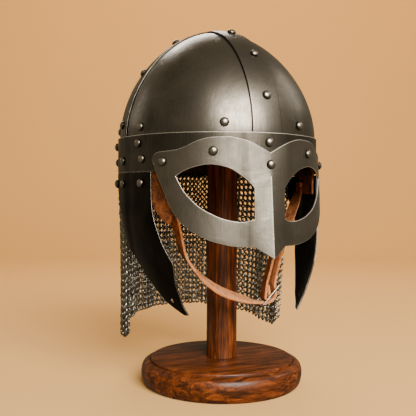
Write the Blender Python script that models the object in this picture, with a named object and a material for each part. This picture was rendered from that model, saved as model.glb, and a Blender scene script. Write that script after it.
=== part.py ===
"""Spectacle guard helmet with cheek plates and a mail curtain, on a plain wooden stand.

Metres, +Z up. The helmet faces -Y and the wearer's right is -X.
The origin is the centre of the stand base's flat underside.
"""

import bpy
import bmesh
from math import acos, asin, atan2, cos, hypot, pi, radians, sin
from mathutils import Matrix, Vector

# Clearances and sheet thicknesses
CLEAR = 0.0003
FACET_ROOM = 0.0004
STEEL = 0.0015
LEATHER = 0.0020
STRAP_THICK = 0.0025
MAIL_THICK = 0.0035
LAYER = STEEL + CLEAR

# Skull bowl, measured on its outer face at the brow. The oval is wider towards the face.
HALF_LENGTH = 0.1155
HALF_WIDTH = 0.1016
FACE_WIDENING = 0.0043
BOWL_HEIGHT = 0.1160
BOWL_POWER = 1.82
PANEL_FOOT = 0.0160
PANEL_GAP = 0.0080
PANEL_CROWN = 0.12

# Where the helmet hangs over the stand
BROW_TOP = 0.2610
HELMET_SIDE = -0.0044
HELMET_BACK = 0.0111

# Bands over the bowl
BAND_FOOT = 0.0140
CREST_FOOT_WIDTH = 0.0320
CREST_CROWN_WIDTH = 0.0270
SIDE_WIDTH = 0.0260
SIDE_BACK = 0.0070
BROW_DEPTH = 0.0365
BROW_FRONT_DEPTH = 0.0260
BROW_STEP_START = radians(50)
BROW_STEP_END = radians(56)
LAP_MARGIN = 0.0015
LAP_FADE = 0.0120

# Spectacle guard
GUARD_DROP = 0.1175
GUARD_TURN = radians(60.6)
GUARD_FLARE = 0.0052
GUARD_FLARE_START = 0.0140
GUARD_FLARE_TURN = radians(45)
NOSE_FOLD_WIDTH = 0.0440
NOSE_FOLD_START = 0.0150
NOSE_SLOPE = 0.0965

# Cheek plates. The twist is metres per radian away from its middle, and turns the rear edge in.
# They are flatter than the head, so they stand out from CHEEK_STAND_TURN to their front edge.
CHEEK_DROP = 0.1378
LEFT_CHEEK_DROP = 0.1413
CHEEK_STAND_OUT = 0.0030
CHEEK_STAND_TURN = radians(90)
CHEEK_STAND_POWER = 1.5
CHEEK_FRONT_TURN = radians(61.0)
CHEEK_REAR_TURN = radians(103.8)
CHEEK_LEAN = 0.0198
CHEEK_LEAN_START = 0.0700
CHEEK_LEAN_RUN = 0.0900
CHEEK_LEAN_POWER = 2.2
CHEEK_TWIST = 0.0180
CHEEK_TWIST_MIDDLE = radians(70)
CHEEK_HOLE = 0.0042
CHEEK_HOLE_SHARE = 0.90

# Leather inside
LINER_TOP = 0.0100
LINER_DROP = 0.0015
LINER_BACK_DEPTH = 0.0320
LINER_STEP_START = radians(85)
LINER_STEP_END = radians(90)
FLAP_FRONT_TURN = radians(48.4)
FLAP_REAR_TURN = radians(92.1)
LEFT_FLAP_REAR_TURN = radians(82)
FLAP_DROP = 0.0860
LEFT_FLAP_DROP = 0.0573
STRAP_WIDTH = 0.0110
STRAP_DROP = 0.1680
RIGHT_STRAP_TURN = radians(-52.7)
LEFT_STRAP_TURN = radians(80)
RIGHT_STRAP_TOP = 0.0500
LEFT_STRAP_TOP = 0.0440
STRAP_SEAT_LENGTH = 0.0060
STRAP_TURNED_BACK = 0.0120
STRAP_CLOSE_SHARE = 0.60

# Mail curtain
MAIL_FRONT_TURN = radians(94.2)
MAIL_SPREAD = radians(7)
MAIL_HEM = 0.2140
MAIL_HANG = 0.0015
MAIL_WAVES = 9
MAIL_WAVE_DEPTH = 0.0022

# Strap slide, bent from wire
SLIDE_WIRE = 0.0022
SLIDE_LENGTH = 0.0300
SLIDE_WIDTH = 0.0165
SLIDE_TILT = radians(46)
SLIDE_BAR_SHARE = 0.40

# Rivets
RIVET_WIDTH = 0.0080
RIVET_HEIGHT = 0.0030
RIVET_SHOULDER_WIDTH = 0.78
RIVET_SHOULDER_HEIGHT = 0.62

# Stand
BASE_RADIUS = 0.0864
BASE_HEIGHT = 0.0274
DISC_RADIUS = 0.0767
POST_RADIUS = 0.0163

# Facets
BOWL_COLUMNS = 10
BOWL_ROWS = 9
CREST_STEPS = 36
SIDE_BAND_STEPS = 12
BAND_COLUMNS = 4
RING_STEPS = 96
LINER_STEPS = 72
CHEEK_COLUMNS = 6
FLAP_STEPS = 4
MAIL_STEPS = 6
MAIL_COLUMNS = 52
STRAP_STEPS = 3
STRAP_BEND_STEPS = 8
WIRE_SIDES = 8
HOLE_SIDES = 8
RIVET_STEPS = 10
BASE_STEPS = 48
POST_STEPS = 24

HELMET_PLACE = Vector((HELMET_SIDE, HELMET_BACK, BROW_TOP))
BAND_IN = CLEAR
BAND_OUT = BAND_IN + STEEL
FLAP_OUT = -0.5 * CLEAR
FLAP_IN = FLAP_OUT - LEATHER
LINER_OUT = FLAP_IN - FACET_ROOM
LINER_IN = LINER_OUT - LEATHER
STRAP_SEAT = FLAP_IN - CLEAR - FACET_ROOM - 0.5 * STRAP_THICK
MAIL_OUT = -CLEAR
MAIL_IN = MAIL_OUT - MAIL_THICK
MAIL_TOP = LINER_BACK_DEPTH + 2 * CLEAR
CHEEK_TOP = BROW_DEPTH + CLEAR

# The spectacle guard's outline from the nose to its end: turn is a share of GUARD_TURN,
# and top, eye_top, eye_low and low are depths below the brow band's top, as shares of GUARD_DROP.
GUARD_ROWS = (
    # turn,  top,    eye_top, eye_low, low
    (0.000, 0.162, 0.443, 0.688, 1.000),
    (0.064, 0.128, 0.443, 0.688, 0.957),
    (0.139, 0.090, 0.443, 0.688, 0.907),
    (0.183, 0.073, 0.391, 0.703, 0.907),
    (0.242, 0.056, 0.344, 0.710, 0.907),
    (0.314, 0.042, 0.298, 0.701, 0.900),
    (0.394, 0.040, 0.271, 0.681, 0.883),
    (0.478, 0.045, 0.260, 0.644, 0.860),
    (0.536, 0.054, 0.263, 0.614, 0.834),
    (0.606, 0.077, 0.278, 0.562, 0.800),
    (0.699, 0.118, 0.311, 0.464, 0.736),
    (0.766, 0.139, 0.352, 0.352, 0.664),
    (0.829, 0.146, 0.350, 0.350, 0.566),
    (0.893, 0.150, 0.290, 0.290, 0.434),
    (0.930, 0.153, 0.260, 0.260, 0.370),
    (0.960, 0.160, 0.236, 0.236, 0.306),
    (0.987, 0.180, 0.217, 0.217, 0.252),
    (1.000, 0.205, 0.216, 0.216, 0.228),
)
GUARD_INNER_CORNER = 2
GUARD_OUTER_CORNER = 11

# The cheek plates' edges: drop is a share of the plate's own drop, front of CHEEK_FRONT_TURN,
# and the two rear edges, which were cut differently by hand, of CHEEK_REAR_TURN.
CHEEK_ROWS = (
    # drop,  front, rear,  left_rear
    (0.000, 1.000, 1.000, 1.000),
    (0.081, 1.000, 0.982, 0.982),
    (0.212, 0.993, 0.921, 0.921),
    (0.299, 0.976, 0.882, 0.875),
    (0.415, 0.928, 0.876, 0.852),
    (0.480, 0.895, 0.872, 0.837),
    (0.567, 0.840, 0.824, 0.809),
    (0.633, 0.790, 0.776, 0.780),
    (0.684, 0.789, 0.737, 0.757),
    (0.742, 0.788, 0.693, 0.729),
    (0.800, 0.779, 0.648, 0.697),
    (0.858, 0.763, 0.601, 0.658),
    (0.930, 0.744, 0.536, 0.600),
    (1.000, 0.700, 0.440, 0.490),
)
CHEEK_REAR_COLUMN = {-1: 2, 1: 3}

# The leather flap behind a cheek plate: turn runs from FLAP_FRONT_TURN to its rear edge,
# and low is its lower edge as a share of its drop. The left one is cut straight.
LEFT_FLAP_ROWS = tuple((share / 8, 1.0) for share in range(9))
FLAP_ROWS = (
    # turn,  low
    (0.000, 0.740),
    (0.040, 0.980),
    (0.090, 1.000),
    (0.160, 0.965),
    (0.230, 0.900),
    (0.300, 0.830),
    (0.370, 0.750),
    (0.460, 0.690),
    (0.640, 0.670),
    (0.820, 0.670),
    (1.000, 0.670),
)

# The mail's hem: turn runs from its free edge to the middle of the back,
# and low is a share of MAIL_HEM.
HEM_ROWS = (
    # turn,  low
    (0.000, 0.975),
    (0.060, 1.000),
    (0.150, 0.992),
    (0.300, 0.965),
    (0.450, 0.943),
    (0.650, 0.925),
    (1.000, 0.911),
)

# The strap from the wearer's right, through the slide, with its free end going up.
# x is a share of HALF_WIDTH, y of HALF_LENGTH and z of STRAP_DROP, below the brow band's top,
# and the last three columns point across the strap's width.
RIGHT_STRAP_ROUTE = (
    # x,      y,      z,      across x, y, z
    (-0.744, -0.562, 0.436, -0.48, 0.88, 0.00),
    (-0.683, -0.553, 0.560, -0.30, 0.95, 0.05),
    (-0.614, -0.544, 0.692, -0.10, 0.98, 0.20),
    (-0.518, -0.540, 0.770, 0.00, 0.90, 0.45),
    (-0.388, -0.535, 0.850, 0.00, 0.76, 0.65),
    (-0.239, -0.535, 0.912, 0.00, 0.68, 0.74),
    (-0.107, -0.535, 0.948, 0.00, 0.68, 0.74),
    (0.066, -0.535, 0.982, 0.00, 0.85, 0.50),
    (0.173, -0.535, 0.999, 0.00, 1.00, 0.10),
    (0.237, -0.535, 1.004, 0.00, 1.00, 0.00),
    (0.301, -0.535, 1.005, 0.00, 1.00, 0.00),
    (0.359, -0.535, 0.988, 0.00, 1.00, 0.00),
    (0.392, -0.535, 0.955, 0.00, 1.00, 0.00),
    (0.380, -0.535, 0.915, 0.00, 1.00, 0.00),
    (0.380, -0.535, 0.880, 0.00, 1.00, 0.00),
    (0.404, -0.532, 0.820, 0.00, 1.00, 0.00),
    (0.443, -0.530, 0.740, 0.00, 1.00, 0.00),
    (0.483, -0.526, 0.670, 0.00, 1.00, 0.00),
)

# The strap from the wearer's left, down to the slide's middle bar.
LEFT_STRAP_ROUTE = (
    # x,      y,      z,      across x, y, z
    (0.931, -0.186, 0.324, 0.12, 0.99, 0.00),
    (0.868, -0.228, 0.376, -0.35, 0.92, 0.10),
    (0.809, -0.268, 0.418, -0.70, 0.65, 0.25),
    (0.746, -0.313, 0.462, -0.70, 0.65, 0.25),
    (0.680, -0.362, 0.515, -0.45, 0.87, 0.15),
    (0.592, -0.424, 0.562, -0.10, 0.98, 0.05),
    (0.473, -0.510, 0.640, 0.20, 0.98, 0.00),
    (0.374, -0.530, 0.735, 0.20, 0.98, 0.00),
    (0.329, -0.534, 0.810, 0.12, 0.99, 0.00),
    (0.289, -0.535, 0.880, 0.04, 1.00, 0.00),
)
SLIDE_CENTRE = (0.314, -0.535, 0.9585)

# Rivets on the crest, front and back: share of the way from brow to crown, and how far off
# the middle as a share of CREST_FOOT_WIDTH.
CREST_RIVETS = ((0.22, 0.0625), (0.50, 0.1406), (0.79, 0.0781))
# Rivets on each side band: share of the way up.
SIDE_RIVETS = (0.085, 0.42, 0.70)
# Rivets round the helmet: turn from the front in degrees, then a share of BOWL_HEIGHT above the
# brow band's top, or a share below it of BROW_DEPTH, of GUARD_DROP, or of CHEEK_DROP from CHEEK_TOP.
PANEL_RIVETS = ((22.6, 0.0776), (72.1, 0.0690), (105.7, 0.0690))
LEFT_PANEL_RIVETS = ((22.6, 0.0776), (67.0, 0.0730), (105.7, 0.0690))
BROW_RIVETS = ((72.5, 0.2274), (69.3, 0.6575), (87.7, 0.6822), (107.8, 0.6822))
BROW_MIDDLE_RIVETS = ((0.0, 0.2466), (180.0, 0.2466))
GUARD_RIVETS = ((28.0, 0.1532), (54.0, 0.2340))
NOSE_RIVET = 0.2553
CHEEK_RIVETS = ((68.8, 0.0784), (87.6, 0.0827), (100.4, 0.0798))

# The stand base's outline from its underside up: inward is a share of the step from
# BASE_RADIUS to DISC_RADIUS, and height a share of BASE_HEIGHT.
BASE_ROWS = (
    # inward, height
    (0.50, 0.00),
    (0.18, 0.12),
    (0.00, 0.38),
    (0.00, 0.60),
    (0.22, 0.80),
    (0.75, 0.91),
    (1.00, 0.89),
    (1.00, 0.96),
    (1.10, 1.00),
)
# Where the rings of the post's rounded top lie, as shares of POST_RADIUS
POST_TOP_SHARES = (0.35, 0.70, 0.93, 1.00)


# Surfaces of the helmet, in its own frame: z is 0 at the brow band's top edge

def half_width(y, grow):
    """Half-width that the grown oval is drawn with at a distance y behind its middle."""
    return HALF_WIDTH + grow - FACE_WIDENING * y / (HALF_LENGTH + grow)


def round_brow(turn, grow):
    """A point on the oval of the head, turned from the front towards the wearer's left."""
    y = -(HALF_LENGTH + grow) * cos(turn)
    return Vector((half_width(y, grow) * sin(turn), y, 0))


def side_normal(turn):
    """Outward direction of the head's oval."""
    along_x = HALF_WIDTH * cos(turn) + FACE_WIDENING * cos(2 * turn)
    return Vector((HALF_LENGTH * sin(turn), -along_x, 0)).normalized()


def bowl_level(x, y, z, grow):
    """Under 1 inside the bowl grown by that much, over 1 outside it."""
    reach = hypot(x / half_width(y, grow), y / (HALF_LENGTH + grow))
    return reach ** BOWL_POWER + (max(z, 0) / (BOWL_HEIGHT + grow)) ** BOWL_POWER


def onto_bowl(point, grow, keep):
    """Scales the two coordinates other than keep until the point lies on the grown bowl."""
    low, high = 0.5, 1.6
    for _ in range(40):
        share = 0.5 * (low + high)
        trial = [value * share for value in point]
        trial[keep] = point[keep]
        if bowl_level(*trial, grow) < 1:
            low = share
        else:
            high = share
    return Vector(trial)


def bowl_height(x, y, grow):
    """Height of the grown bowl over a point of the brow plane."""
    reach = hypot(x / half_width(y, grow), y / (HALF_LENGTH + grow))
    return (BOWL_HEIGHT + grow) * (1 - reach ** BOWL_POWER) ** (1 / BOWL_POWER)


def bowl_normal(point, grow):
    """Outward direction of the grown bowl at a point."""
    step = 0.0001
    level = bowl_level(*point, grow)
    slopes = []
    for axis in range(3):
        moved = list(point)
        moved[axis] += step
        slopes.append(bowl_level(*moved, grow) - level)
    return Vector(slopes).normalized()


def arch(climb):
    """Share of the half-length and share of the height, for a climb from brow (0) to crown (1)."""
    angle = climb * pi / 2
    return cos(angle) ** (2 / BOWL_POWER), sin(angle) ** (2 / BOWL_POWER)


def lap_rise(point):
    """How far the brow band is lifted where it laps over the feet of the other bands."""
    from_crest = abs(point.x) - CREST_FOOT_WIDTH / 2
    from_side = abs(point.y - SIDE_BACK) - SIDE_WIDTH / 2
    share = (min(from_crest, from_side) - LAP_MARGIN) / LAP_FADE
    share = min(max(share, 0), 1)
    return LAYER * (0.5 + 0.5 * cos(pi * share))


def table_value(rows, at, column):
    """Value of a table's column at a value of its first column, in straight steps."""
    for before, after in zip(rows, rows[1:]):
        if at <= after[0]:
            share = (at - before[0]) / (after[0] - before[0])
            return before[column] + share * (after[column] - before[column])
    return rows[-1][column]


# Mesh builders

def add_material(name, colour, roughness, metallic):
    material = bpy.data.materials.new(name)
    material.use_nodes = True
    shader = material.node_tree.nodes["Principled BSDF"]
    shader.inputs["Base Color"].default_value = (*colour, 1)
    shader.inputs["Roughness"].default_value = roughness
    shader.inputs["Metallic"].default_value = metallic
    return material


def add_object(name, mesh, material, place=HELMET_PLACE, crease=35):
    """Turns a bmesh into a smooth-shaded object with creases."""
    bmesh.ops.recalc_face_normals(mesh, faces=mesh.faces)
    data = bpy.data.meshes.new(name)
    mesh.to_mesh(data)
    mesh.free()
    data.shade_smooth()
    data.set_sharp_from_angle(angle=radians(crease))
    data.materials.append(material)
    piece = bpy.data.objects.new(name, data)
    piece.location = place
    bpy.context.collection.objects.link(piece)
    return piece


def wall(name, outer, inner, cells, material):
    """A closed wall: outer and inner are points by key, and cells are loops of keys."""
    mesh = bmesh.new()
    outside = {key: mesh.verts.new(point) for key, point in outer.items()}
    inside = {key: mesh.verts.new(point) for key, point in inner.items()}
    edges = set()
    for cell in cells:
        mesh.faces.new([outside[key] for key in cell])
        mesh.faces.new([inside[key] for key in reversed(cell)])
        edges.update(zip(cell, cell[1:] + cell[:1]))
    for start, end in sorted(edges):
        if (end, start) not in edges:
            mesh.faces.new([outside[end], outside[start], inside[start], inside[end]])
    return add_object(name, mesh, material)


def grid_wall(name, row_count, column_count, place, material, ring=False):
    """A wall from place(row, column, side), where side 0 is the inner face and 1 the outer."""
    keys = [(row, column) for row in range(row_count) for column in range(column_count)]
    outer = {key: place(*key, 1) for key in keys}
    inner = {key: place(*key, 0) for key in keys}
    cells = []
    for row in range(row_count - 1):
        for column in range(column_count if ring else column_count - 1):
            beside = (column + 1) % column_count
            cells.append([(row, column), (row, beside), (row + 1, beside), (row + 1, column)])
    return wall(name, outer, inner, cells, material)


def turned(name, profile, steps, material, place):
    """A closed turned solid from a profile of (radius, height) that starts and ends on the axis."""
    mesh = bmesh.new()
    points = [mesh.verts.new((radius, 0, height)) for radius, height in profile]
    edges = [mesh.edges.new(pair) for pair in zip(points, points[1:])]
    bmesh.ops.spin(
        mesh, geom=points + edges, cent=(0, 0, 0), axis=(0, 0, 1), angle=2 * pi, steps=steps,
        use_merge=True,
    )
    bmesh.ops.remove_doubles(mesh, verts=mesh.verts, dist=0.00001)
    return add_object(name, mesh, material, place)


# Pieces of the bowl

def skull_panel(name, side, front, material):
    """One quarter of the bowl; side is 1 for the wearer's left, front is 1 for the face side."""
    lap_limit = SIDE_BACK - front * PANEL_GAP / 2
    climbs = [(1 - PANEL_CROWN) * row / BOWL_ROWS for row in range(BOWL_ROWS + 1)]
    levels = [(1.0, -PANEL_FOOT)] + [(arch(c)[0], BOWL_HEIGHT * arch(c)[1]) for c in climbs]

    def place(row, column, outside):
        reach, height = levels[row]
        grow = 0 if outside else -STEEL
        near = asin(PANEL_GAP / 2 / (HALF_WIDTH * reach))
        far = acos(-front * lap_limit / (HALF_LENGTH * reach))
        turn = near + (far - near) * column / BOWL_COLUMNS
        if height > 0:
            height *= (BOWL_HEIGHT + grow) / BOWL_HEIGHT
        y = -front * (HALF_LENGTH + grow) * reach * cos(turn)
        x = side * half_width(y, grow) * reach * sin(turn)
        return Vector((x, y, height))

    return grid_wall(name, len(levels), BOWL_COLUMNS + 1, place, material)


def crest_band(material):
    """Front-to-back band over the crown, narrower at the top than at its feet."""
    last_row = CREST_STEPS + 2

    def place(row, column, outside):
        grow = BAND_OUT if outside else BAND_IN
        share = min(max(row - 1, 0), CREST_STEPS) / CREST_STEPS
        climb = 1 - abs(1 - 2 * share)
        front = -1 if share <= 0.5 else 1
        width = CREST_FOOT_WIDTH + (CREST_CROWN_WIDTH - CREST_FOOT_WIDTH) * climb
        x = width * (column / BAND_COLUMNS - 0.5)
        reach, height = arch(climb)
        point = onto_bowl((x, front * HALF_LENGTH * reach, BOWL_HEIGHT * height), grow, 0)
        if row in (0, last_row):
            point.z = -BAND_FOOT
        return point

    return grid_wall("crest_band", last_row + 1, BAND_COLUMNS + 1, place, material)


def side_band(name, side, material):
    """Half of the ear-to-ear band, from the brow up to the crest band's edge."""
    crest_edge = (CREST_CROWN_WIDTH / 2 + 2 * CLEAR) / HALF_WIDTH
    top = 2 / pi * acos(crest_edge ** (BOWL_POWER / 2))

    def place(row, column, outside):
        grow = BAND_OUT if outside else BAND_IN
        climb = top * max(row - 1, 0) / SIDE_BAND_STEPS
        y = SIDE_BACK + SIDE_WIDTH * (column / BAND_COLUMNS - 0.5)
        reach, height = arch(climb)
        point = onto_bowl((side * HALF_WIDTH * reach, y, BOWL_HEIGHT * height), grow, 1)
        if row == 0:
            point.z = -BAND_FOOT
        return point

    return grid_wall(name, SIDE_BAND_STEPS + 2, BAND_COLUMNS + 1, place, material)


def brow_depth(turn):
    """Depth of the brow band, which is cut higher behind the eye openings."""
    away = min(turn, 2 * pi - turn)
    share = (away - BROW_STEP_START) / (BROW_STEP_END - BROW_STEP_START)
    share = min(max(share, 0), 1)
    return BROW_FRONT_DEPTH + (BROW_DEPTH - BROW_FRONT_DEPTH) * share


def brow_band(material):
    def place(row, column, outside):
        turn = 2 * pi * column / RING_STEPS
        grow = BAND_OUT if outside else BAND_IN
        point = round_brow(turn, grow + lap_rise(round_brow(turn, 0)))
        point.z = 0 if row else -brow_depth(turn)
        return point

    return grid_wall("brow_band", 2, RING_STEPS, place, material, ring=True)


# Spectacle guard

def guard_point(turn, depth, outside):
    """Point of the guard's wall, flared at its sides and with the nose folded out along its middle."""
    below = max(0, depth - GUARD_FLARE_START) / (GUARD_DROP - GUARD_FLARE_START)
    flare = GUARD_FLARE * below * min(abs(turn) / GUARD_FLARE_TURN, 1)
    grow = BAND_OUT + lap_rise(round_brow(turn, 0)) + CLEAR + flare
    point = round_brow(turn, grow + (STEEL if outside else 0))
    beside = max(0, 1 - abs(point.x) / (NOSE_FOLD_WIDTH / 2))
    point.y -= NOSE_SLOPE * max(0, depth - NOSE_FOLD_START) * beside
    point.z = -depth
    return point


def spectacle_guard(material):
    outer = {}
    inner = {}
    count = len(GUARD_ROWS)
    columns = range(1 - count, count)

    def key(row, column):
        merged = row == 2 and abs(column) >= GUARD_OUTER_CORNER
        return (1 if merged else row, column)

    for column in columns:
        share, *depths = GUARD_ROWS[abs(column)]
        turn = GUARD_TURN * share * (1 if column > 0 else -1)
        for row, depth in enumerate(depths):
            outer[key(row, column)] = guard_point(turn, GUARD_DROP * depth, True)
            inner[key(row, column)] = guard_point(turn, GUARD_DROP * depth, False)
    cells = []
    for column in columns[:-1]:
        near = min(abs(column), abs(column + 1))
        for row in range(3):
            if row == 1 and near >= GUARD_INNER_CORNER:
                continue
            low_edge = [key(row + 1, column), key(row + 1, column + 1)]
            cells.append(low_edge + [key(row, column + 1), key(row, column)])
    return wall("spectacle_guard", outer, inner, cells, material)


# Cheek plates and leather

def cheek_point(turn, depth, grow):
    """A point on the surface of the cheek plates, which leans in towards the chin and twists."""
    run = max(0, depth - CHEEK_LEAN_START) / CHEEK_LEAN_RUN
    inset = CHEEK_LEAN * run ** CHEEK_LEAN_POWER - CHEEK_TWIST * run * (CHEEK_TWIST_MIDDLE - abs(turn))
    point = round_brow(turn, grow - inset)
    point.z = -depth
    return point


def cheek_rise(turn):
    """How far out a cheek plate lies beyond the flat parts of the brow band."""
    share = (CHEEK_STAND_TURN - abs(turn)) / (CHEEK_STAND_TURN - CHEEK_FRONT_TURN)
    return lap_rise(round_brow(turn, 0)) + CHEEK_STAND_OUT * min(max(share, 0), 1) ** CHEEK_STAND_POWER


def cheek_plate(name, side, plate_drop, material):
    rear_column = CHEEK_REAR_COLUMN[side]

    def place(row, column, outside):
        drop, front, rear = (CHEEK_ROWS[row][at] for at in (0, 1, rear_column))
        share = column / CHEEK_COLUMNS
        turn = CHEEK_FRONT_TURN * front * (1 - share) + CHEEK_REAR_TURN * rear * share
        grow = (BAND_OUT if outside else BAND_IN) + cheek_rise(turn)
        return cheek_point(side * turn, CHEEK_TOP + plate_drop * drop, grow)

    plate = grid_wall(name, len(CHEEK_ROWS), CHEEK_COLUMNS + 1, place, material)

    front = CHEEK_FRONT_TURN * table_value(CHEEK_ROWS, CHEEK_HOLE_SHARE, 1)
    rear = CHEEK_REAR_TURN * table_value(CHEEK_ROWS, CHEEK_HOLE_SHARE, rear_column)
    hole_turn = side * (front + rear) / 2
    bpy.ops.mesh.primitive_cylinder_add(vertices=HOLE_SIDES, radius=CHEEK_HOLE / 2, depth=4 * CHEEK_HOLE)
    cutter = bpy.context.object
    cutter.name = name + "_hole_cutter"
    cutter.location = HELMET_PLACE + cheek_point(hole_turn, CHEEK_TOP + plate_drop * CHEEK_HOLE_SHARE, 0)
    cutter.rotation_euler = side_normal(hole_turn).to_track_quat("Z", "Y").to_euler()
    cutter.hide_render = True
    cutter.display_type = "WIRE"
    cut = plate.modifiers.new("tip_hole", "BOOLEAN")
    cut.operation = "DIFFERENCE"
    cut.object = cutter
    return plate


def cheek_flap(name, side, rows, rear_turn, flap_drop, material):
    """Leather that hangs a cheek plate from the brow band, and carries the chin strap."""
    top = PANEL_FOOT + 2 * CLEAR

    def place(row, column, outside):
        share, low = rows[column]
        turn = FLAP_FRONT_TURN + (rear_turn - FLAP_FRONT_TURN) * share
        depth = flap_drop * low + (top - flap_drop * low) * row / FLAP_STEPS
        return cheek_point(side * turn, depth, FLAP_OUT if outside else FLAP_IN)

    return grid_wall(name, FLAP_STEPS + 1, len(rows), place, material)


def liner_depth(turn):
    """Depth of the liner's lower edge, which is cut higher at the back, where the mail hangs."""
    away = min(turn, 2 * pi - turn)
    share = min(max((away - LINER_STEP_START) / (LINER_STEP_END - LINER_STEP_START), 0), 1)
    return (brow_depth(turn) + LINER_DROP) * (1 - share) + LINER_BACK_DEPTH * share


def liner_band(material):
    def place(row, column, outside):
        turn = 2 * pi * column / LINER_STEPS
        point = round_brow(turn, LINER_OUT if outside else LINER_IN)
        point.z = -LINER_TOP if row else -liner_depth(turn)
        return point

    return grid_wall("liner_band", 2, LINER_STEPS, place, material, ring=True)


def mail_curtain(material):
    """The whole field of mail as one wall, hung from the brow band from ear to ear round the back."""
    def place(row, column, outside):
        run = row / MAIL_STEPS
        across = 2 * column / MAIL_COLUMNS - 1
        start = MAIL_FRONT_TURN + MAIL_SPREAD * run
        turn = pi + across * (pi - start)
        hem = MAIL_HEM * table_value(HEM_ROWS, 1 - abs(across), 1)
        wave = MAIL_WAVE_DEPTH * run * (cos(across * MAIL_WAVES * pi) - 1)
        grow = (MAIL_OUT if outside else MAIL_IN) + wave + MAIL_HANG * run * run
        point = round_brow(turn, grow)
        point.z = -MAIL_TOP - (hem - MAIL_TOP) * run
        return point

    return grid_wall("mail_curtain", MAIL_STEPS + 1, MAIL_COLUMNS + 1, place, material)


# Chin strap and its slide

def strap_place(x, y, z):
    return Vector((x * HALF_WIDTH, y * HALF_LENGTH, -z * STRAP_DROP))


def slide_bar(share):
    """Centre of a bar of the slide, as a share of the way from its lower to its upper bar."""
    along = Vector((cos(SLIDE_TILT), 0, sin(SLIDE_TILT))) * SLIDE_LENGTH
    return strap_place(*SLIDE_CENTRE) + along * (share - 0.5)


def strap_body(name, centres, across, material):
    """A flat strap swept along its centre line, with its width pointing across."""
    mesh = bmesh.new()
    rings = []
    last = len(centres) - 1
    for index, centre in enumerate(centres):
        ahead = (centres[min(index + 1, last)] - centres[max(index - 1, 0)]).normalized()
        wide = across[index] - ahead * across[index].dot(ahead)
        wide = wide.normalized() * STRAP_WIDTH / 2
        thick = ahead.cross(wide).normalized() * STRAP_THICK / 2
        corners = (wide + thick, wide - thick, -wide - thick, -wide + thick)
        rings.append([mesh.verts.new(centre + corner) for corner in corners])
    for before, after in zip(rings, rings[1:]):
        for corner in range(4):
            beside = (corner + 1) % 4
            mesh.faces.new([before[corner], before[beside], after[beside], after[corner]])
    mesh.faces.new(reversed(rings[0]))
    mesh.faces.new(rings[-1])
    return add_object(name, mesh, material)


def smooth_route(seat_turn, seat_depth, route):
    """Points and width directions on a smooth curve from a seat on the flap through a route's rows."""
    seat = round_brow(seat_turn, STRAP_SEAT)
    outwards = side_normal(seat_turn)
    backwards = Vector((-outwards.y, outwards.x, 0)) * (1 if seat_turn > 0 else -1)
    points = [seat - Vector((0, 0, seat_depth + STRAP_SEAT_LENGTH * end)) for end in (0, 1)]
    widths = [backwards, backwards]
    points += [strap_place(*row[:3]) for row in route]
    widths += [Vector(row[3:]) for row in route]
    centres = []
    across = []
    for index in range(len(points) - 1):
        a, b = points[max(index - 1, 0)], points[index]
        c, d = points[index + 1], points[min(index + 2, len(points) - 1)]
        for step in range(STRAP_STEPS):
            t = step / STRAP_STEPS
            bend = (c - a) * t + (2 * a - 5 * b + 4 * c - d) * t * t
            bend += (3 * b - a - 3 * c + d) * t * t * t
            centres.append(b + bend / 2)
            across.append(widths[index].lerp(widths[index + 1], t))
    centres.append(points[-1])
    across.append(widths[-1])
    return centres, across


def right_strap(material):
    centres, across = smooth_route(RIGHT_STRAP_TURN, RIGHT_STRAP_TOP, RIGHT_STRAP_ROUTE)
    return strap_body("chin_strap_right", centres, across, material)


def left_strap(material):
    """Strap whose end is turned round the slide's middle bar and back up beside itself."""
    centres, across = smooth_route(LEFT_STRAP_TURN, LEFT_STRAP_TOP, LEFT_STRAP_ROUTE)
    bar = slide_bar(SLIDE_BAR_SHARE)
    bend = SLIDE_WIRE / 2 + CLEAR + STRAP_THICK / 2
    down = (bar - centres[-1]).normalized()
    start = atan2(down.x, -down.z) + pi
    for step in range(STRAP_BEND_STEPS + 1):
        angle = start + pi * step / STRAP_BEND_STEPS
        centres.append(bar + Vector((cos(angle), 0, sin(angle))) * bend)
        across.append(Vector((0, 1, 0)))
    closed = (STRAP_THICK + CLEAR - 2 * bend) * STRAP_CLOSE_SHARE
    centres.append(centres[-1] - down * STRAP_TURNED_BACK + Vector((-down.z, 0, down.x)) * closed)
    across.append(Vector((0, 1, 0)))
    return strap_body("chin_strap_left", centres, across, material)


def strap_slide(material):
    """Rectangular wire slide with a middle bar, its bars across the strap."""
    long_way = Vector((cos(SLIDE_TILT), 0, sin(SLIDE_TILT))) * SLIDE_LENGTH / 2
    wide_way = Vector((0, 1, 0)) * SLIDE_WIDTH / 2
    centre = strap_place(*SLIDE_CENTRE)
    radius = SLIDE_WIRE / 2
    upwards = Vector((-sin(SLIDE_TILT), 0, cos(SLIDE_TILT)))
    mesh = bmesh.new()
    rings = []
    for along, wide in ((-1, -1), (1, -1), (1, 1), (-1, 1)):
        point = centre + long_way * along + wide_way * wide
        outwards = long_way.normalized() * along + wide_way.normalized() * wide
        ring = []
        for side in range(WIRE_SIDES):
            angle = 2 * pi * (side + 0.5) / WIRE_SIDES
            ring.append(mesh.verts.new(point + (outwards * cos(angle) + upwards * sin(angle)) * radius))
        rings.append(ring)
    for before, after in zip(rings, rings[1:] + rings[:1]):
        for side in range(WIRE_SIDES):
            beside = (side + 1) % WIRE_SIDES
            mesh.faces.new([before[side], before[beside], after[beside], after[side]])
    return add_object("strap_slide", mesh, material)


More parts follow.
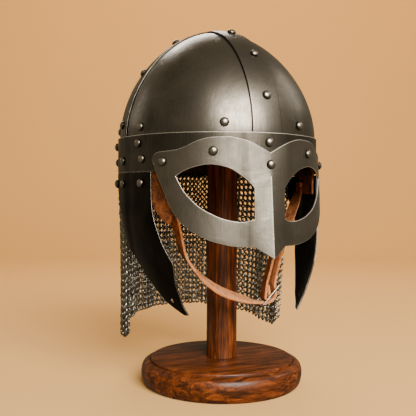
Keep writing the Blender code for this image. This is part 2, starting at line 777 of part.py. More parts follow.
def slide_middle_bar(material):
    """The slide's middle bar, between its long sides."""
    mesh = bmesh.new()
    bmesh.ops.create_cone(
        mesh, cap_ends=True, segments=WIRE_SIDES, radius1=SLIDE_WIRE / 2, radius2=SLIDE_WIRE / 2,
        depth=SLIDE_WIDTH - SLIDE_WIRE - 2 * CLEAR,
        matrix=Matrix.Translation(slide_bar(SLIDE_BAR_SHARE)) @ Matrix.Rotation(pi / 2, 4, "X"),
    )
    return add_object("strap_slide_bar", mesh, material)


# Rivets

def rivet(name, point, normal, material):
    """A low round rivet head standing on a surface."""
    mesh = bmesh.new()
    rings = []
    for width, height in ((1, 0), (RIVET_SHOULDER_WIDTH, RIVET_SHOULDER_HEIGHT)):
        ring = []
        for step in range(RIVET_STEPS):
            angle = 2 * pi * step / RIVET_STEPS
            x = RIVET_WIDTH / 2 * width * cos(angle)
            y = RIVET_WIDTH / 2 * width * sin(angle)
            ring.append(mesh.verts.new((x, y, RIVET_HEIGHT * height)))
        rings.append(ring)
    top = mesh.verts.new((0, 0, RIVET_HEIGHT))
    mesh.faces.new(reversed(rings[0]))
    for step in range(RIVET_STEPS):
        beside = (step + 1) % RIVET_STEPS
        mesh.faces.new([rings[0][step], rings[0][beside], rings[1][beside], rings[1][step]])
        mesh.faces.new([rings[1][step], rings[1][beside], top])
    head = add_object(name, mesh, material, HELMET_PLACE + point + normal * CLEAR, crease=60)
    head.rotation_euler = normal.to_track_quat("Z", "Y").to_euler()
    return head


def band_rise(turn):
    return lap_rise(round_brow(turn, 0))


def under_head(turn, rise):
    """How far out a plate with a given rise reaches anywhere under a rivet head at a turn."""
    aside = RIVET_WIDTH / 2 / HALF_WIDTH
    return BAND_OUT + max(rise(turn + aside * end) for end in (-1, 0, 1))


def add_rivets(material):
    sides = (("right", -1), ("left", 1))
    for number, (climb, aside) in enumerate(CREST_RIVETS, 1):
        for end, front in (("front", -1), ("back", 1)):
            reach, height = arch(climb)
            start = (aside * CREST_FOOT_WIDTH, front * HALF_LENGTH * reach, BOWL_HEIGHT * height)
            point = onto_bowl(start, BAND_OUT, 0)
            rivet(f"rivet_crest_{end}_{number}", point, bowl_normal(point, BAND_OUT), material)
    for number, climb in enumerate(SIDE_RIVETS, 1):
        for word, side in sides:
            reach, height = arch(climb)
            start = (side * HALF_WIDTH * reach, SIDE_BACK, BOWL_HEIGHT * height)
            point = onto_bowl(start, BAND_OUT, 1)
            rivet(f"rivet_side_{word}_{number}", point, bowl_normal(point, BAND_OUT), material)
    for word, side, rows in (("right", -1, PANEL_RIVETS), ("left", 1, LEFT_PANEL_RIVETS)):
        for number, (turn, rise) in enumerate(rows, 1):
            start = round_brow(side * radians(turn), 0)
            start.z = rise * BOWL_HEIGHT
            point = onto_bowl(tuple(start), 0, 2)
            rivet(f"rivet_panel_{word}_{number}", point, bowl_normal(point, 0), material)
    brow_places = [(f"{word}_{number}", side * radians(turn), drop)
                   for number, (turn, drop) in enumerate(BROW_RIVETS, 1) for word, side in sides]
    brow_places += [(f"middle_{number}", radians(turn), drop)
                    for number, (turn, drop) in enumerate(BROW_MIDDLE_RIVETS, 1)]
    for word, turn, drop in brow_places:
        point = round_brow(turn, under_head(turn, band_rise))
        point.z = -drop * BROW_DEPTH
        rivet(f"rivet_brow_{word}", point, side_normal(turn), material)
    for number, (turn, drop) in enumerate(GUARD_RIVETS, 1):
        for word, side in sides:
            point = guard_point(side * radians(turn), drop * GUARD_DROP, True)
            rivet(f"rivet_guard_{word}_{number}", point, side_normal(side * radians(turn)), material)
    nose = guard_point(0, NOSE_RIVET * GUARD_DROP, True)
    rivet("rivet_nose", nose, Vector((0, -1, NOSE_SLOPE)).normalized(), material)
    for number, (turn, drop) in enumerate(CHEEK_RIVETS, 1):
        for word, side in sides:
            angle = side * radians(turn)
            point = cheek_point(angle, CHEEK_TOP + drop * CHEEK_DROP, under_head(angle, cheek_rise))
            rivet(f"rivet_cheek_{word}_{number}", point, side_normal(angle), material)


# Stand

def stand_base(material):
    profile = [(0, 0)]
    for inward, height in BASE_ROWS:
        profile.append((BASE_RADIUS - (BASE_RADIUS - DISC_RADIUS) * inward, BASE_HEIGHT * height))
    profile.append((0, BASE_HEIGHT))
    return turned("stand_base", profile, BASE_STEPS, material, Vector((0, 0, 0)))


def stand_post(material):
    """Round post whose top is shaped to the inside of the bowl, which rests on it."""
    mesh = bmesh.new()

    def top_point(x, y):
        height = bowl_height(x - HELMET_SIDE, y - HELMET_BACK, -STEEL - CLEAR - FACET_ROOM)
        return x, y, BROW_TOP + height

    angles = [2 * pi * step / POST_STEPS for step in range(POST_STEPS)]
    rings = []
    for share in POST_TOP_SHARES:
        radius = POST_RADIUS * share
        rings.append([mesh.verts.new(top_point(radius * cos(a), radius * sin(a))) for a in angles])
    foot = BASE_HEIGHT + CLEAR
    rings.append([mesh.verts.new((POST_RADIUS * cos(a), POST_RADIUS * sin(a), foot)) for a in angles])
    centre = mesh.verts.new(top_point(0, 0))
    for step in range(POST_STEPS):
        beside = (step + 1) % POST_STEPS
        mesh.faces.new([centre, rings[0][step], rings[0][beside]])
        for inner, outer in zip(rings, rings[1:]):
            mesh.faces.new([inner[step], outer[step], outer[beside], inner[beside]])
    mesh.faces.new(reversed(rings[-1]))
    return add_object("stand_post", mesh, material, Vector((0, 0, 0)))


def build():
    for old in list(bpy.data.objects):
        bpy.data.objects.remove(old, do_unlink=True)
    bowl_steel = add_material("bowl_steel", (0.20, 0.18, 0.16), 0.34, 1.0)
    guard_steel = add_material("guard_steel", (0.32, 0.30, 0.27), 0.36, 1.0)
    rivet_steel = add_material("rivet_steel", (0.50, 0.47, 0.43), 0.22, 1.0)
    mail_steel = add_material("mail_steel", (0.22, 0.20, 0.16), 0.35, 1.0)
    wire_steel = add_material("wire_steel", (0.55, 0.53, 0.50), 0.25, 1.0)
    liner_leather = add_material("liner_leather", (0.10, 0.04, 0.02), 0.60, 0.0)
    flap_leather = add_material("flap_leather", (0.42, 0.17, 0.05), 0.60, 0.0)
    strap_leather = add_material("strap_leather", (0.55, 0.26, 0.11), 0.60, 0.0)
    stained_wood = add_material("stained_wood", (0.14, 0.05, 0.02), 0.32, 0.0)

    skull_panel("skull_panel_front_right", -1, 1, bowl_steel)
    skull_panel("skull_panel_front_left", 1, 1, bowl_steel)
    skull_panel("skull_panel_back_right", -1, -1, bowl_steel)
    skull_panel("skull_panel_back_left", 1, -1, bowl_steel)
    crest_band(bowl_steel)
    side_band("side_band_right", -1, bowl_steel)
    side_band("side_band_left", 1, bowl_steel)
    brow_band(bowl_steel)
    spectacle_guard(guard_steel)
    cheek_plate("cheek_plate_right", -1, CHEEK_DROP, bowl_steel)
    cheek_plate("cheek_plate_left", 1, LEFT_CHEEK_DROP, bowl_steel)
    liner_band(liner_leather)
    cheek_flap("cheek_flap_right", -1, FLAP_ROWS, FLAP_REAR_TURN, FLAP_DROP, flap_leather)
    cheek_flap("cheek_flap_left", 1, LEFT_FLAP_ROWS, LEFT_FLAP_REAR_TURN, LEFT_FLAP_DROP, flap_leather)
    mail_curtain(mail_steel)
    right_strap(strap_leather)
    left_strap(strap_leather)
    strap_slide(wire_steel)
    slide_middle_bar(wire_steel)
    add_rivets(rivet_steel)
    stand_base(stained_wood)
    stand_post(stained_wood)


build()
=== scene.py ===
# %% [markdown]
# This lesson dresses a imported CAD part: a steel spectacle guard helmet with cheek plates and a
# mail curtain, on a plain turned wooden stand. The CAD plates are right in size but coarse, so
# each one is drawn again on the same surface with more points and softened edges, and the mail
# becomes real rings. The helmet faces -Y, and the wearer's right is -X.

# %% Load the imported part
from math import acos, asin, atan2, cos, hypot, pi, radians, sin

import bmesh
import bpy
from mathutils import Matrix, Vector


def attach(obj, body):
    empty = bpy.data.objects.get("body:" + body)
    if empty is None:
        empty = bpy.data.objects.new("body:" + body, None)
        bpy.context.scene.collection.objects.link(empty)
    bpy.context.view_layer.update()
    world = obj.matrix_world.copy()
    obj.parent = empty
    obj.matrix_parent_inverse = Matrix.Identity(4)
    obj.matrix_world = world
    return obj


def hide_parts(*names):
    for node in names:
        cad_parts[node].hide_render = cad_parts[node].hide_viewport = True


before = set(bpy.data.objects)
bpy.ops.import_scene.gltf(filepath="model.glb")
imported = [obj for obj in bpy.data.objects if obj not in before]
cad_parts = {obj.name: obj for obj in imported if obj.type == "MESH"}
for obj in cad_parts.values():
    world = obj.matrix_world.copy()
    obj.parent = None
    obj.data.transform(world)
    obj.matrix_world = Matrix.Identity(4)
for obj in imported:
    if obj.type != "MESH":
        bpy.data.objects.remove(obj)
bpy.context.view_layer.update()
scene = bpy.context.scene

# %% [markdown]
# The camera comes first, because everything else is judged through it. It stands 0.72 m from the
# stand's axis, 26 degrees round to the wearer's right and just below the brow. The numbers come
# from fitting the oval of the brow, the post and the base to the picture's outline.

# %% Camera
CAMERA_TURN = radians(-25.997)
CAMERA_DISTANCE = 0.71932
CAMERA_HEIGHT = 0.20405
CAMERA_PITCH = radians(-1.282)
CAMERA_YAW = radians(1.238)
CAMERA_ROLL = radians(0.353)
FOCAL_PIXELS = 663.92
FRAME_PIXELS = 416
SENSOR_WIDTH = 36

heading = atan2(cos(CAMERA_TURN), -sin(CAMERA_TURN)) + CAMERA_YAW
forward = Vector((cos(heading) * cos(CAMERA_PITCH), sin(heading) * cos(CAMERA_PITCH), sin(CAMERA_PITCH)))
level_right = forward.cross(Vector((0, 0, 1))).normalized()
level_up = level_right.cross(forward)
right = level_right * cos(CAMERA_ROLL) + level_up * sin(CAMERA_ROLL)
up = level_up * cos(CAMERA_ROLL) - level_right * sin(CAMERA_ROLL)

camera_data = bpy.data.cameras.new("photo_camera")
camera_data.sensor_width = SENSOR_WIDTH
camera_data.lens = FOCAL_PIXELS * SENSOR_WIDTH / FRAME_PIXELS
camera_data.clip_start = 0.05
camera = bpy.data.objects.new("photo_camera", camera_data)
scene.collection.objects.link(camera)
camera.matrix_world = Matrix.Translation(
    (sin(CAMERA_TURN) * CAMERA_DISTANCE, -cos(CAMERA_TURN) * CAMERA_DISTANCE, CAMERA_HEIGHT)
) @ Matrix((right, up, -forward)).transposed().to_4x4()
scene.camera = camera
print("lens:", round(camera_data.lens, 2), "mm")

# %% [markdown]
# The sizes are the CAD model's own, in metres. The bowl is a superellipse over an oval that is a
# little wider towards the face. Points on it are found by turn, from the front towards the
# wearer's left, and by depth below the brow band's top edge.

# %% Sizes
CLEAR = 0.0003
STEEL = 0.0015
LEATHER = 0.0020
STRAP_THICK = 0.0025
LAYER = STEEL + CLEAR
FACET_ROOM = 0.0004

HALF_LENGTH = 0.1155
HALF_WIDTH = 0.1016
FACE_WIDENING = 0.0043
BOWL_HEIGHT = 0.1160
BOWL_POWER = 1.82
PANEL_FOOT = 0.0160
PANEL_GAP = 0.0080
PANEL_CROWN = 0.12
HELMET_PLACE = Vector((-0.0044, 0.0111, 0.2610))

BAND_FOOT = 0.0140
CREST_FOOT_WIDTH = 0.0320
CREST_CROWN_WIDTH = 0.0270
SIDE_WIDTH = 0.0260
SIDE_BACK = 0.0070
BROW_DEPTH = 0.0365
BROW_FRONT_DEPTH = 0.0260
BROW_STEP_START = radians(50)
BROW_STEP_END = radians(56)
LAP_MARGIN = 0.0015
LAP_FADE = 0.0120
BAND_IN = CLEAR
BAND_OUT = BAND_IN + STEEL
HALVINGS = 40


def half_width(y, grow):
    return HALF_WIDTH + grow - FACE_WIDENING * y / (HALF_LENGTH + grow)


def oval(turn, grow, depth=0):
    """A point on the head's oval, some way below the brow band's top edge."""
    y = -(HALF_LENGTH + grow) * cos(turn)
    return Vector((half_width(y, grow) * sin(turn), y, -depth))


def oval_normal(turn):
    along_x = HALF_WIDTH * cos(turn) + FACE_WIDENING * cos(2 * turn)
    return Vector((HALF_LENGTH * sin(turn), -along_x, 0)).normalized()


def bowl_level(x, y, z, grow):
    """Under 1 inside the bowl grown by that much, over 1 outside it."""
    reach = hypot(x / half_width(y, grow), y / (HALF_LENGTH + grow))
    return reach ** BOWL_POWER + (max(z, 0) / (BOWL_HEIGHT + grow)) ** BOWL_POWER


def onto_bowl(point, grow, keep):
    """Scales the two coordinates other than keep until the point lies on the grown bowl."""
    low, high = 0.5, 1.6
    for _ in range(HALVINGS):
        share = 0.5 * (low + high)
        trial = [value * share for value in point]
        trial[keep] = point[keep]
        if bowl_level(*trial, grow) < 1:
            low = share
        else:
            high = share
    return Vector(trial)


def bowl_normal(point, grow):
    step = 0.0001
    level = bowl_level(*point, grow)
    slopes = []
    for axis in range(3):
        moved = list(point)
        moved[axis] += step
        slopes.append(bowl_level(*moved, grow) - level)
    return Vector(slopes).normalized()


def arch(climb):
    """Share of the half-length and share of the height, for a climb from brow (0) to crown (1)."""
    angle = climb * pi / 2
    return cos(angle) ** (2 / BOWL_POWER), sin(angle) ** (2 / BOWL_POWER)


def lap_rise(point):
    """How far the brow band is lifted where it laps over the feet of the other bands."""
    from_crest = abs(point.x) - CREST_FOOT_WIDTH / 2
    from_side = abs(point.y - SIDE_BACK) - SIDE_WIDTH / 2
    share = min(max((min(from_crest, from_side) - LAP_MARGIN) / LAP_FADE, 0), 1)
    return LAYER * (0.5 + 0.5 * cos(pi * share))


def brow_depth(turn):
    away = min(turn, 2 * pi - turn)
    share = min(max((away - BROW_STEP_START) / (BROW_STEP_END - BROW_STEP_START), 0), 1)
    return BROW_FRONT_DEPTH + (BROW_DEPTH - BROW_FRONT_DEPTH) * share


def smooth_value(rows, at, column):
    """Value of a table's column at a value of its first column, on a smooth curve."""
    k = 0
    while k < len(rows) - 2 and at > rows[k + 1][0]:
        k += 1

    def slope(i):
        before, after = rows[max(i - 1, 0)], rows[min(i + 1, len(rows) - 1)]
        return (after[column] - before[column]) / (after[0] - before[0])

    run = rows[k + 1][0] - rows[k][0]
    t = (at - rows[k][0]) / run
    start, end = rows[k][column], rows[k + 1][column]
    bend = (2 * t ** 3 - 3 * t ** 2 + 1) * start + (3 * t ** 2 - 2 * t ** 3) * end
    return bend + run * ((t ** 3 - 2 * t ** 2 + t) * slope(k) + (t ** 3 - t ** 2) * slope(k + 1))


print("oval outside the brow band:", round(2 * (HALF_WIDTH + BAND_OUT), 4), round(2 * (HALF_LENGTH + BAND_OUT), 4))

# %% [markdown]
# Every material is built from nodes. One function adds a node, sets its values and links its
# inputs, a few short ones stand for the nodes that every finish needs, and one turns a colour
# written as an sRGB hex value to the linear values that shaders use.

# %% Node and colour helpers
def set_inputs(tree, target, inputs):
    """Gives a node's inputs their values: a socket is linked, anything else is set."""
    for name, value in inputs.items():
        if isinstance(value, bpy.types.NodeSocket):
            tree.links.new(value, target.inputs[name])
        else:
            target.inputs[name].default_value = value


def node(tree, kind, inputs=None, **settings):
    """Adds a node: settings are its properties, and each input is a value or a socket to link."""
    made = tree.nodes.new(kind)
    for name, value in settings.items():
        setattr(made, name, value)
    set_inputs(tree, made, inputs or {})
    return made


def linear(code):
    """An sRGB hex colour as linear RGBA."""
    parts = [int(code[i:i + 2], 16) / 255 for i in (0, 2, 4)]
    return tuple(c / 12.92 if c <= 0.04045 else ((c + 0.055) / 1.055) ** 2.4 for c in parts) + (1.0,)


def new_finish(name):
    """A new material, its tree, its shader and the place on the object that patterns read."""
    material = bpy.data.materials.new(name)
    material.use_nodes = True
    tree = material.node_tree
    return material, tree, tree.nodes["Principled BSDF"], node(tree, "ShaderNodeTexCoord").outputs["Object"]


def stretched(tree, place, lengths_mm, turn=0.0):
    """The place turned about Z and scaled, so that a pattern's cell has these lengths."""
    scale = [1000 / mm for mm in lengths_mm]
    return node(tree, "ShaderNodeMapping", {"Vector": place, "Scale": scale, "Rotation": (0, 0, turn)}).outputs[0]


def noise(tree, place, scale, detail, rough=0.5, warp=0.0):
    return node(tree, "ShaderNodeTexNoise", {
        "Vector": place, "Scale": scale, "Detail": detail, "Roughness": rough, "Distortion": warp,
    }).outputs["Fac"]


def span(tree, value, low, high, out_low, out_high):
    """A value carried from one range to another."""
    return node(tree, "ShaderNodeMapRange", {0: value, 1: low, 2: high, 3: out_low, 4: out_high}).outputs[0]


def blend(tree, share, first, second):
    return node(tree, "ShaderNodeMix", {0: share, 2: first, 3: second}, data_type="FLOAT").outputs[0]


def ramp(tree, value, stops):
    """A colour for a value, from (position, hex colour) rows."""
    made = node(tree, "ShaderNodeValToRGB", {0: value})
    elements = made.color_ramp.elements
    while len(elements) < len(stops):
        elements.new(0.5)
    for element, (position, code) in zip(elements, stops):
        element.position = position
        element.color = linear(code)
    return made.outputs[0]


def shaded(tree, colour, factor):
    """A colour multiplied by a factor."""
    return node(tree, "ShaderNodeMix", {
        0: 1.0, 6: colour, 7: factor,
    }, data_type="RGBA", blend_type="MULTIPLY").outputs[2]


def relief(tree, height, strength, depth, **under):
    """A bumped normal of a depth in metres, over another normal if one is named."""
    return node(tree, "ShaderNodeBump", {"Strength": strength, "Distance": depth, "Height": height, **under}).outputs[0]


# %% [markdown]
# The plates are mild steel, burnished by hand with a fine abrasive drawn up and down, then oiled.
# To the eye that gives a dark warm grey with soft wide highlights, faint upright streaks about a
# millimetre wide, and slow patches where more or less polish was given. Streaks are noise that is
# stretched along Z. The real scratches, about 0.1 mm, are too fine to show, so they are drawn at 1 mm.

# %% Burnished steel
STREAK_SHARE = 0.34


def burnished_steel(name, dark, light, rough_low, rough_high, streak_mm=(1.1, 60), patch_mm=38):
    material, tree, shader, place = new_finish(name)
    streak = noise(tree, stretched(tree, place, (streak_mm[0], *streak_mm)), 1, 4, 0.6)
    patch = noise(tree, place, 1000 / patch_mm, 4, 0.55, 0.4)
    stain = noise(tree, place, 260, 5, 0.7)
    both = blend(tree, STREAK_SHARE, patch, streak)
    tone = ramp(tree, both, ((0.34, dark), (0.66, light)))
    spots = span(tree, stain, 0.60, 0.78, 0.0, 0.30)
    dulled = node(tree, "ShaderNodeMix", {0: spots, 6: tone, 7: linear(dark)}, data_type="RGBA")
    set_inputs(tree, shader, {
        "Base Color": dulled.outputs[2],
        "Roughness": span(tree, both, 0.3, 0.7, rough_high, rough_low),
        "Normal": relief(tree, patch, 0.22, 0.0020, Normal=relief(tree, streak, 0.10, 0.0004)),
        "Metallic": 1.0,
    })
    return material


bowl_steel = burnished_steel("burnished_bowl_steel", "5a564f", "8e8a81", 0.27, 0.42)
guard_steel = burnished_steel("brushed_guard_steel", "706c63", "99948a", 0.32, 0.45, streak_mm=(1.4, 26), patch_mm=22)
# The cheek plates' steel is darkened to near black as painted shade, for plates turned away from the light.
shade_darkened_cheek_plate_steel = burnished_steel("painted_shade_cheek_plate_steel", "1b1813", "39332a", 0.36, 0.52)
brow_steel = burnished_steel("dark_brow_steel", "45423b", "726d64", 0.30, 0.44)
# Bevelled edges get a pale steel: partly wear rubbed bright, partly a painted highlight along each edge.
worn_and_highlit_bevel_steel = burnished_steel("rubbed_bevel_painted_highlight_steel", "b4b0a7", "e2ddd3", 0.45, 0.58, patch_mm=12)
# Band edges get a near-black steel: black oxide left in the joint, and a painted shade along the seam.
oxide_and_shade_seam_steel = burnished_steel("oxide_and_painted_shade_seam_steel", "100d09", "2a251e", 0.45, 0.60, patch_mm=12)


def domed_rivet_steel():
    """Filed steel heads: bright on the crown, and near black round the foot as painted shade."""
    material, tree, shader, place = new_finish("domed_rivet_steel")
    crown = node(tree, "ShaderNodeAttribute", attribute_name="crown").outputs["Fac"]
    wear = noise(tree, place, 700, 3, 0.6)
    # The ramp's near-black foot is painted shade where the head meets the plate.
    tone = ramp(tree, crown, ((0.00, "0d0a07"), (0.20, "2c2720"), (0.45, "7b756a"), (0.85, "a8a297")))
    set_inputs(tree, shader, {
        "Base Color": shaded(tree, tone, span(tree, wear, 0.35, 0.65, 0.75, 1.1)),
        "Roughness": span(tree, wear, 0.3, 0.7, 0.40, 0.28),
        "Normal": relief(tree, wear, 0.2, 0.0003),
        "Metallic": 1.0,
    })
    return material


rivet_steel = domed_rivet_steel()

# %% [markdown]
# The mail is butted rings of blackened steel wire. The black oxide rubs off on the crown of each
# wire, so a ring glints pale grey where it is worn and stays near black in its hollows. The strap's
# slide is plain drawn wire, with nothing on it but fine scratches.

# %% Wire
def blackened_wire():
    material, tree, shader, place = new_finish("blackened_ring_wire")
    worn = noise(tree, place, 420, 3, 0.6)
    set_inputs(tree, shader, {
        "Base Color": ramp(tree, worn, ((0.32, "5c574b"), (0.68, "ccc7b9"))),
        "Roughness": span(tree, worn, 0.3, 0.7, 0.42, 0.26),
        "Metallic": 1.0,
    })
    return material


def bright_wire():
    material, tree, shader, place = new_finish("drawn_bright_wire")
    set_inputs(tree, shader, {
        "Base Color": linear("9a958b"),
        "Roughness": span(tree, noise(tree, place, 900, 3), 0.3, 0.7, 0.18, 0.36),
        "Metallic": 1.0,
    })
    return material


ring_wire = blackened_wire()
slide_wire = bright_wire()

# %% [markdown]
# The leather is vegetable-tanned cowhide. The flaps were stained by hand, so they are mottled
# orange-brown with dark handling marks. The strap is dark on its grain side and pale, fibrous tan
# on its flesh side and cut edges. Grain is a cell pattern about 1 mm across, as bump.

# %% Leather
def tanned_leather(name, dark, middle, light, grain_mm=1.0, mottle_mm=14, rough=0.62):
    material, tree, shader, place = new_finish(name)
    mottle = noise(tree, place, 1000 / mottle_mm, 6, 0.68, 0.6)
    fibre = noise(tree, place, 1400, 4, 0.7)
    cells = node(tree, "ShaderNodeTexVoronoi", {"Vector": place, "Scale": 1000 / grain_mm}).outputs["Distance"]
    tone = ramp(tree, mottle, ((0.30, dark), (0.50, middle), (0.72, light)))
    set_inputs(tree, shader, {
        "Base Color": shaded(tree, tone, span(tree, fibre, 0.35, 0.7, 0.78, 1.12)),
        "Roughness": span(tree, mottle, 0.3, 0.7, rough - 0.08, rough + 0.12),
        "Normal": relief(tree, blend(tree, 0.5, cells, fibre), 0.45, 0.0005),
    })
    return material


flap_leather = tanned_leather("stained_flap_leather", "2a1306", "633515", "9a5c2a", mottle_mm=11)
strap_grain = tanned_leather("strap_grain_side", "4e2a12", "7d4822", "a06838", mottle_mm=9, rough=0.55)
strap_flesh = tanned_leather("strap_flesh_side", "9a5f3a", "c88a5a", "dfa878", grain_mm=0.7, mottle_mm=6, rough=0.75)
liner_leather = tanned_leather("dark_liner_leather", "1c0e07", "331a0d", "4c2a16")

# %% [markdown]
# The stand is beech turned on a lathe, stained dark red-brown and varnished. The stain sinks into
# the open pores, so fine dark dashes follow the grain: up the post, and straight across the base,
# which was cut from one board. The varnish is a clear coat with its own sharper highlight.

# %% Varnished wood
def varnished_wood(name, stretch_mm, dash_mm, turn=0.0):
    material, tree, shader, place = new_finish(name)
    grain = noise(tree, stretched(tree, place, stretch_mm, turn), 1, 7, 0.66, 0.9)
    pores = noise(tree, stretched(tree, place, dash_mm, turn), 1, 3, 0.6)
    tone = ramp(tree, grain, ((0.28, "1b0a03"), (0.44, "42200b"), (0.57, "713814"), (0.74, "a65f26")))
    set_inputs(tree, shader, {
        "Base Color": shaded(tree, tone, span(tree, pores, 0.36, 0.56, 0.50, 1.0)),
        "Roughness": span(tree, grain, 0.3, 0.7, 0.50, 0.36),
        "Normal": relief(tree, pores, 0.25, 0.0004),
        "Specular IOR Level": 0.3,
        "Coat Weight": 0.16,
        "Coat Roughness": 0.22,
    })
    return material


post_wood = varnished_wood("varnished_post_beech", (5, 5, 90), (0.9, 0.9, 14))
base_wood = varnished_wood("varnished_base_beech", (55, 7, 5), (12, 1.1, 1.1), turn=radians(24))
print("materials:", len(bpy.data.materials))

# %% [markdown]
# A plate starts as an open sheet on its outer face. Solidify gives it the real 1.5 mm and Bevel
# breaks its edges by a few tenths, which is what makes the thin bright line round a real plate.
# On the brow band, guard and cheek plates that line is also a painted highlight, in the pale steel
# given to the bevel, and on the crest and side bands the bevel's near-black steel paints shade.
# Weighted normals keep the wide faces flat beside the small bevels. The result is a plain mesh.

# %% Sheet helpers
EDGE_BREAK = 0.0006
SHARP_TURN = radians(40)


def new_piece(name, mesh, material):
    data = bpy.data.meshes.new(name)
    mesh.to_mesh(data)
    mesh.free()
    data.shade_smooth()
    data.materials.append(material)
    piece = bpy.data.objects.new(name, data)
    scene.collection.objects.link(piece)
    return piece


def settle(piece):
    """Turns what the modifiers make into the piece's own plain mesh."""
    graph = bpy.context.evaluated_depsgraph_get()
    finished = bpy.data.meshes.new_from_object(piece.evaluated_get(graph))
    piece.modifiers.clear()
    piece.data = finished
    return piece


def keep(piece, slot, *nodes):
    """Settles a piece, hangs it on the root body and hides the CAD nodes that it stands for. The slot is not used."""
    settle(piece)
    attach(piece, "root")
    if nodes:
        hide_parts(*nodes)
    triangles = sum(len(face.vertices) - 2 for face in piece.data.polygons)
    print(piece.name, triangles, "triangles")
    return piece


def turn_outward(mesh, centre):
    """Makes an open sheet's faces look away from a point."""
    mesh.normal_update()
    facing = sum(face.normal.dot(face.calc_center_median() - centre) for face in mesh.faces)
    if facing < 0:
        bmesh.ops.reverse_faces(mesh, faces=mesh.faces)


def bridge(mesh, lines, ring=True):
    """Joins each line or ring of points to the next one with faces, and returns their rows."""
    count = len(lines[0])
    return [[
        mesh.faces.new([low[k], low[(k + 1) % count], high[(k + 1) % count], high[k]])
        for k in range(count if ring else count - 1)
    ] for low, high in zip(lines, lines[1:])]


def add_wall(piece, thickness, edge=EDGE_BREAK, segments=2, edge_highlight_and_shade=None, sharpest=SHARP_TURN):
    """Gives a sheet its thickness and its broken edges, which may carry a steel of their own: pale with wear and
    painted highlight on some plates, near black with oxide and painted shade on the bands.
    """
    if edge_highlight_and_shade:
        piece.data.materials.append(edge_highlight_and_shade)
    wall = piece.modifiers.new("wall", "SOLIDIFY")
    wall.thickness = thickness
    wall.offset = -1
    wall.use_even_offset = True
    soften = piece.modifiers.new("broken_edge", "BEVEL")
    soften.width = edge
    soften.segments = segments
    soften.limit_method = "ANGLE"
    soften.angle_limit = sharpest
    soften.material = 1 if edge_highlight_and_shade else -1
    soften.use_clamp_overlap = sharpest >= SHARP_TURN
    even = piece.modifiers.new("even_shading", "WEIGHTED_NORMAL")
    even.keep_sharp = False


def sheet(name, row_count, column_count, place, material, ring=False):
    """An open sheet through place(row share, column share), set in the helmet's place."""
    mesh = bmesh.new()
    across = [column / column_count for column in range(column_count + (0 if ring else 1))]
    bridge(mesh, [
        [mesh.verts.new(HELMET_PLACE + place(row / row_count, share)) for share in across]
        for row in range(row_count + 1)
    ], ring)
    turn_outward(mesh, HELMET_PLACE)
    return new_piece(name, mesh, material)


# %% [markdown]
# The bowl is four pressed quarters under a crest band and two side bands. The quarters stop short
# of each other, and the bands lie over the joints with a hair of shadow under each edge. The bands'
# edges are near-black steel: black oxide left in the joint, and painted shade along the seam.

# %% Skull panels and bands
PANEL_NODES = {
    "skull_panel_front_right": (-1, 1), "skull_panel_front_left": (1, 1),
    "skull_panel_back_right": (-1, -1), "skull_panel_back_left": (1, -1),
}
PANEL_GRID = (50, 40)
CREST_GRID = (168, 10)
SIDE_GRID = (60, 8)
BROW_GRID = (4, 288)


def panel_point(side, front, rise, across):
    foot_share = 0.06
    climb = (1 - PANEL_CROWN) * max(rise - foot_share, 0) / (1 - foot_share)
    reach, height = arch(climb)
    height *= BOWL_HEIGHT
    if rise < foot_share:
        height = -PANEL_FOOT * (1 - rise / foot_share)
    near = asin(PANEL_GAP / 2 / (HALF_WIDTH * reach))
    far = acos(-front * (SIDE_BACK - front * PANEL_GAP / 2) / (HALF_LENGTH * reach))
    turn = near + (far - near) * across
    y = -front * HALF_LENGTH * reach * cos(turn)
    return Vector((side * half_width(y, 0) * reach * sin(turn), y, height))


for name, (side, front) in PANEL_NODES.items():
    panel = sheet(name + "_plate", *PANEL_GRID, lambda r, c: panel_point(side, front, r, c), bowl_steel)
    add_wall(panel, STEEL)
    keep(panel, "bowl_steel", name)


def crest_point(share, across):
    foot_share = 0.012
    run = min(max((share - foot_share) / (1 - 2 * foot_share), 0), 1)
    climb = 1 - abs(1 - 2 * run)
    front = -1 if run <= 0.5 else 1
    width = CREST_FOOT_WIDTH + (CREST_CROWN_WIDTH - CREST_FOOT_WIDTH) * climb
    reach, height = arch(climb)
    point = onto_bowl((width * (across - 0.5), front * HALF_LENGTH * reach, BOWL_HEIGHT * height), BAND_OUT, 0)
    if share < foot_share or share > 1 - foot_share:
        outside = (foot_share - share if share < 0.5 else share - 1 + foot_share) / foot_share
        point.z = -BAND_FOOT * outside
    return point


crest = sheet("crest_strap_plate", *CREST_GRID, crest_point, bowl_steel)
add_wall(crest, STEEL, edge_highlight_and_shade=oxide_and_shade_seam_steel)
keep(crest, "bowl_steel", "crest_band")

SIDE_TOP = 2 / pi * acos(((CREST_CROWN_WIDTH / 2 + 2 * CLEAR) / HALF_WIDTH) ** (BOWL_POWER / 2))


def side_point(side, share, across):
    foot_share = 0.05
    climb = SIDE_TOP * max(share - foot_share, 0) / (1 - foot_share)
    y = SIDE_BACK + SIDE_WIDTH * (across - 0.5)
    reach, height = arch(climb)
    point = onto_bowl((side * HALF_WIDTH * reach, y, BOWL_HEIGHT * height), BAND_OUT, 1)
    if share < foot_share:
        point.z = -BAND_FOOT * (1 - share / foot_share)
    return point


for word, side in (("right", -1), ("left", 1)):
    band = sheet(f"side_strap_{word}_plate", *SIDE_GRID, lambda r, c: side_point(side, r, c), bowl_steel)
    add_wall(band, STEEL, edge_highlight_and_shade=oxide_and_shade_seam_steel)
    keep(band, "bowl_steel", "side_band_" + word)


def brow_point(share, across):
    turn = 2 * pi * across
    return oval(turn, BAND_OUT + lap_rise(oval(turn, 0)), brow_depth(turn) * (1 - share))


brow = sheet("brow_hoop", *BROW_GRID, brow_point, brow_steel, ring=True)
add_wall(brow, STEEL, edge_highlight_and_shade=worn_and_highlit_bevel_steel)
keep(brow, "bowl_steel", "brow_band")

# %% [markdown]
# The spectacle guard is one plate, cut with two eye openings and folded down the middle of the
# nose. Its outline is a short table of shares, read along smooth curves that stop at the real
# corners: the inner side of each eye opening and the pointed outer end.

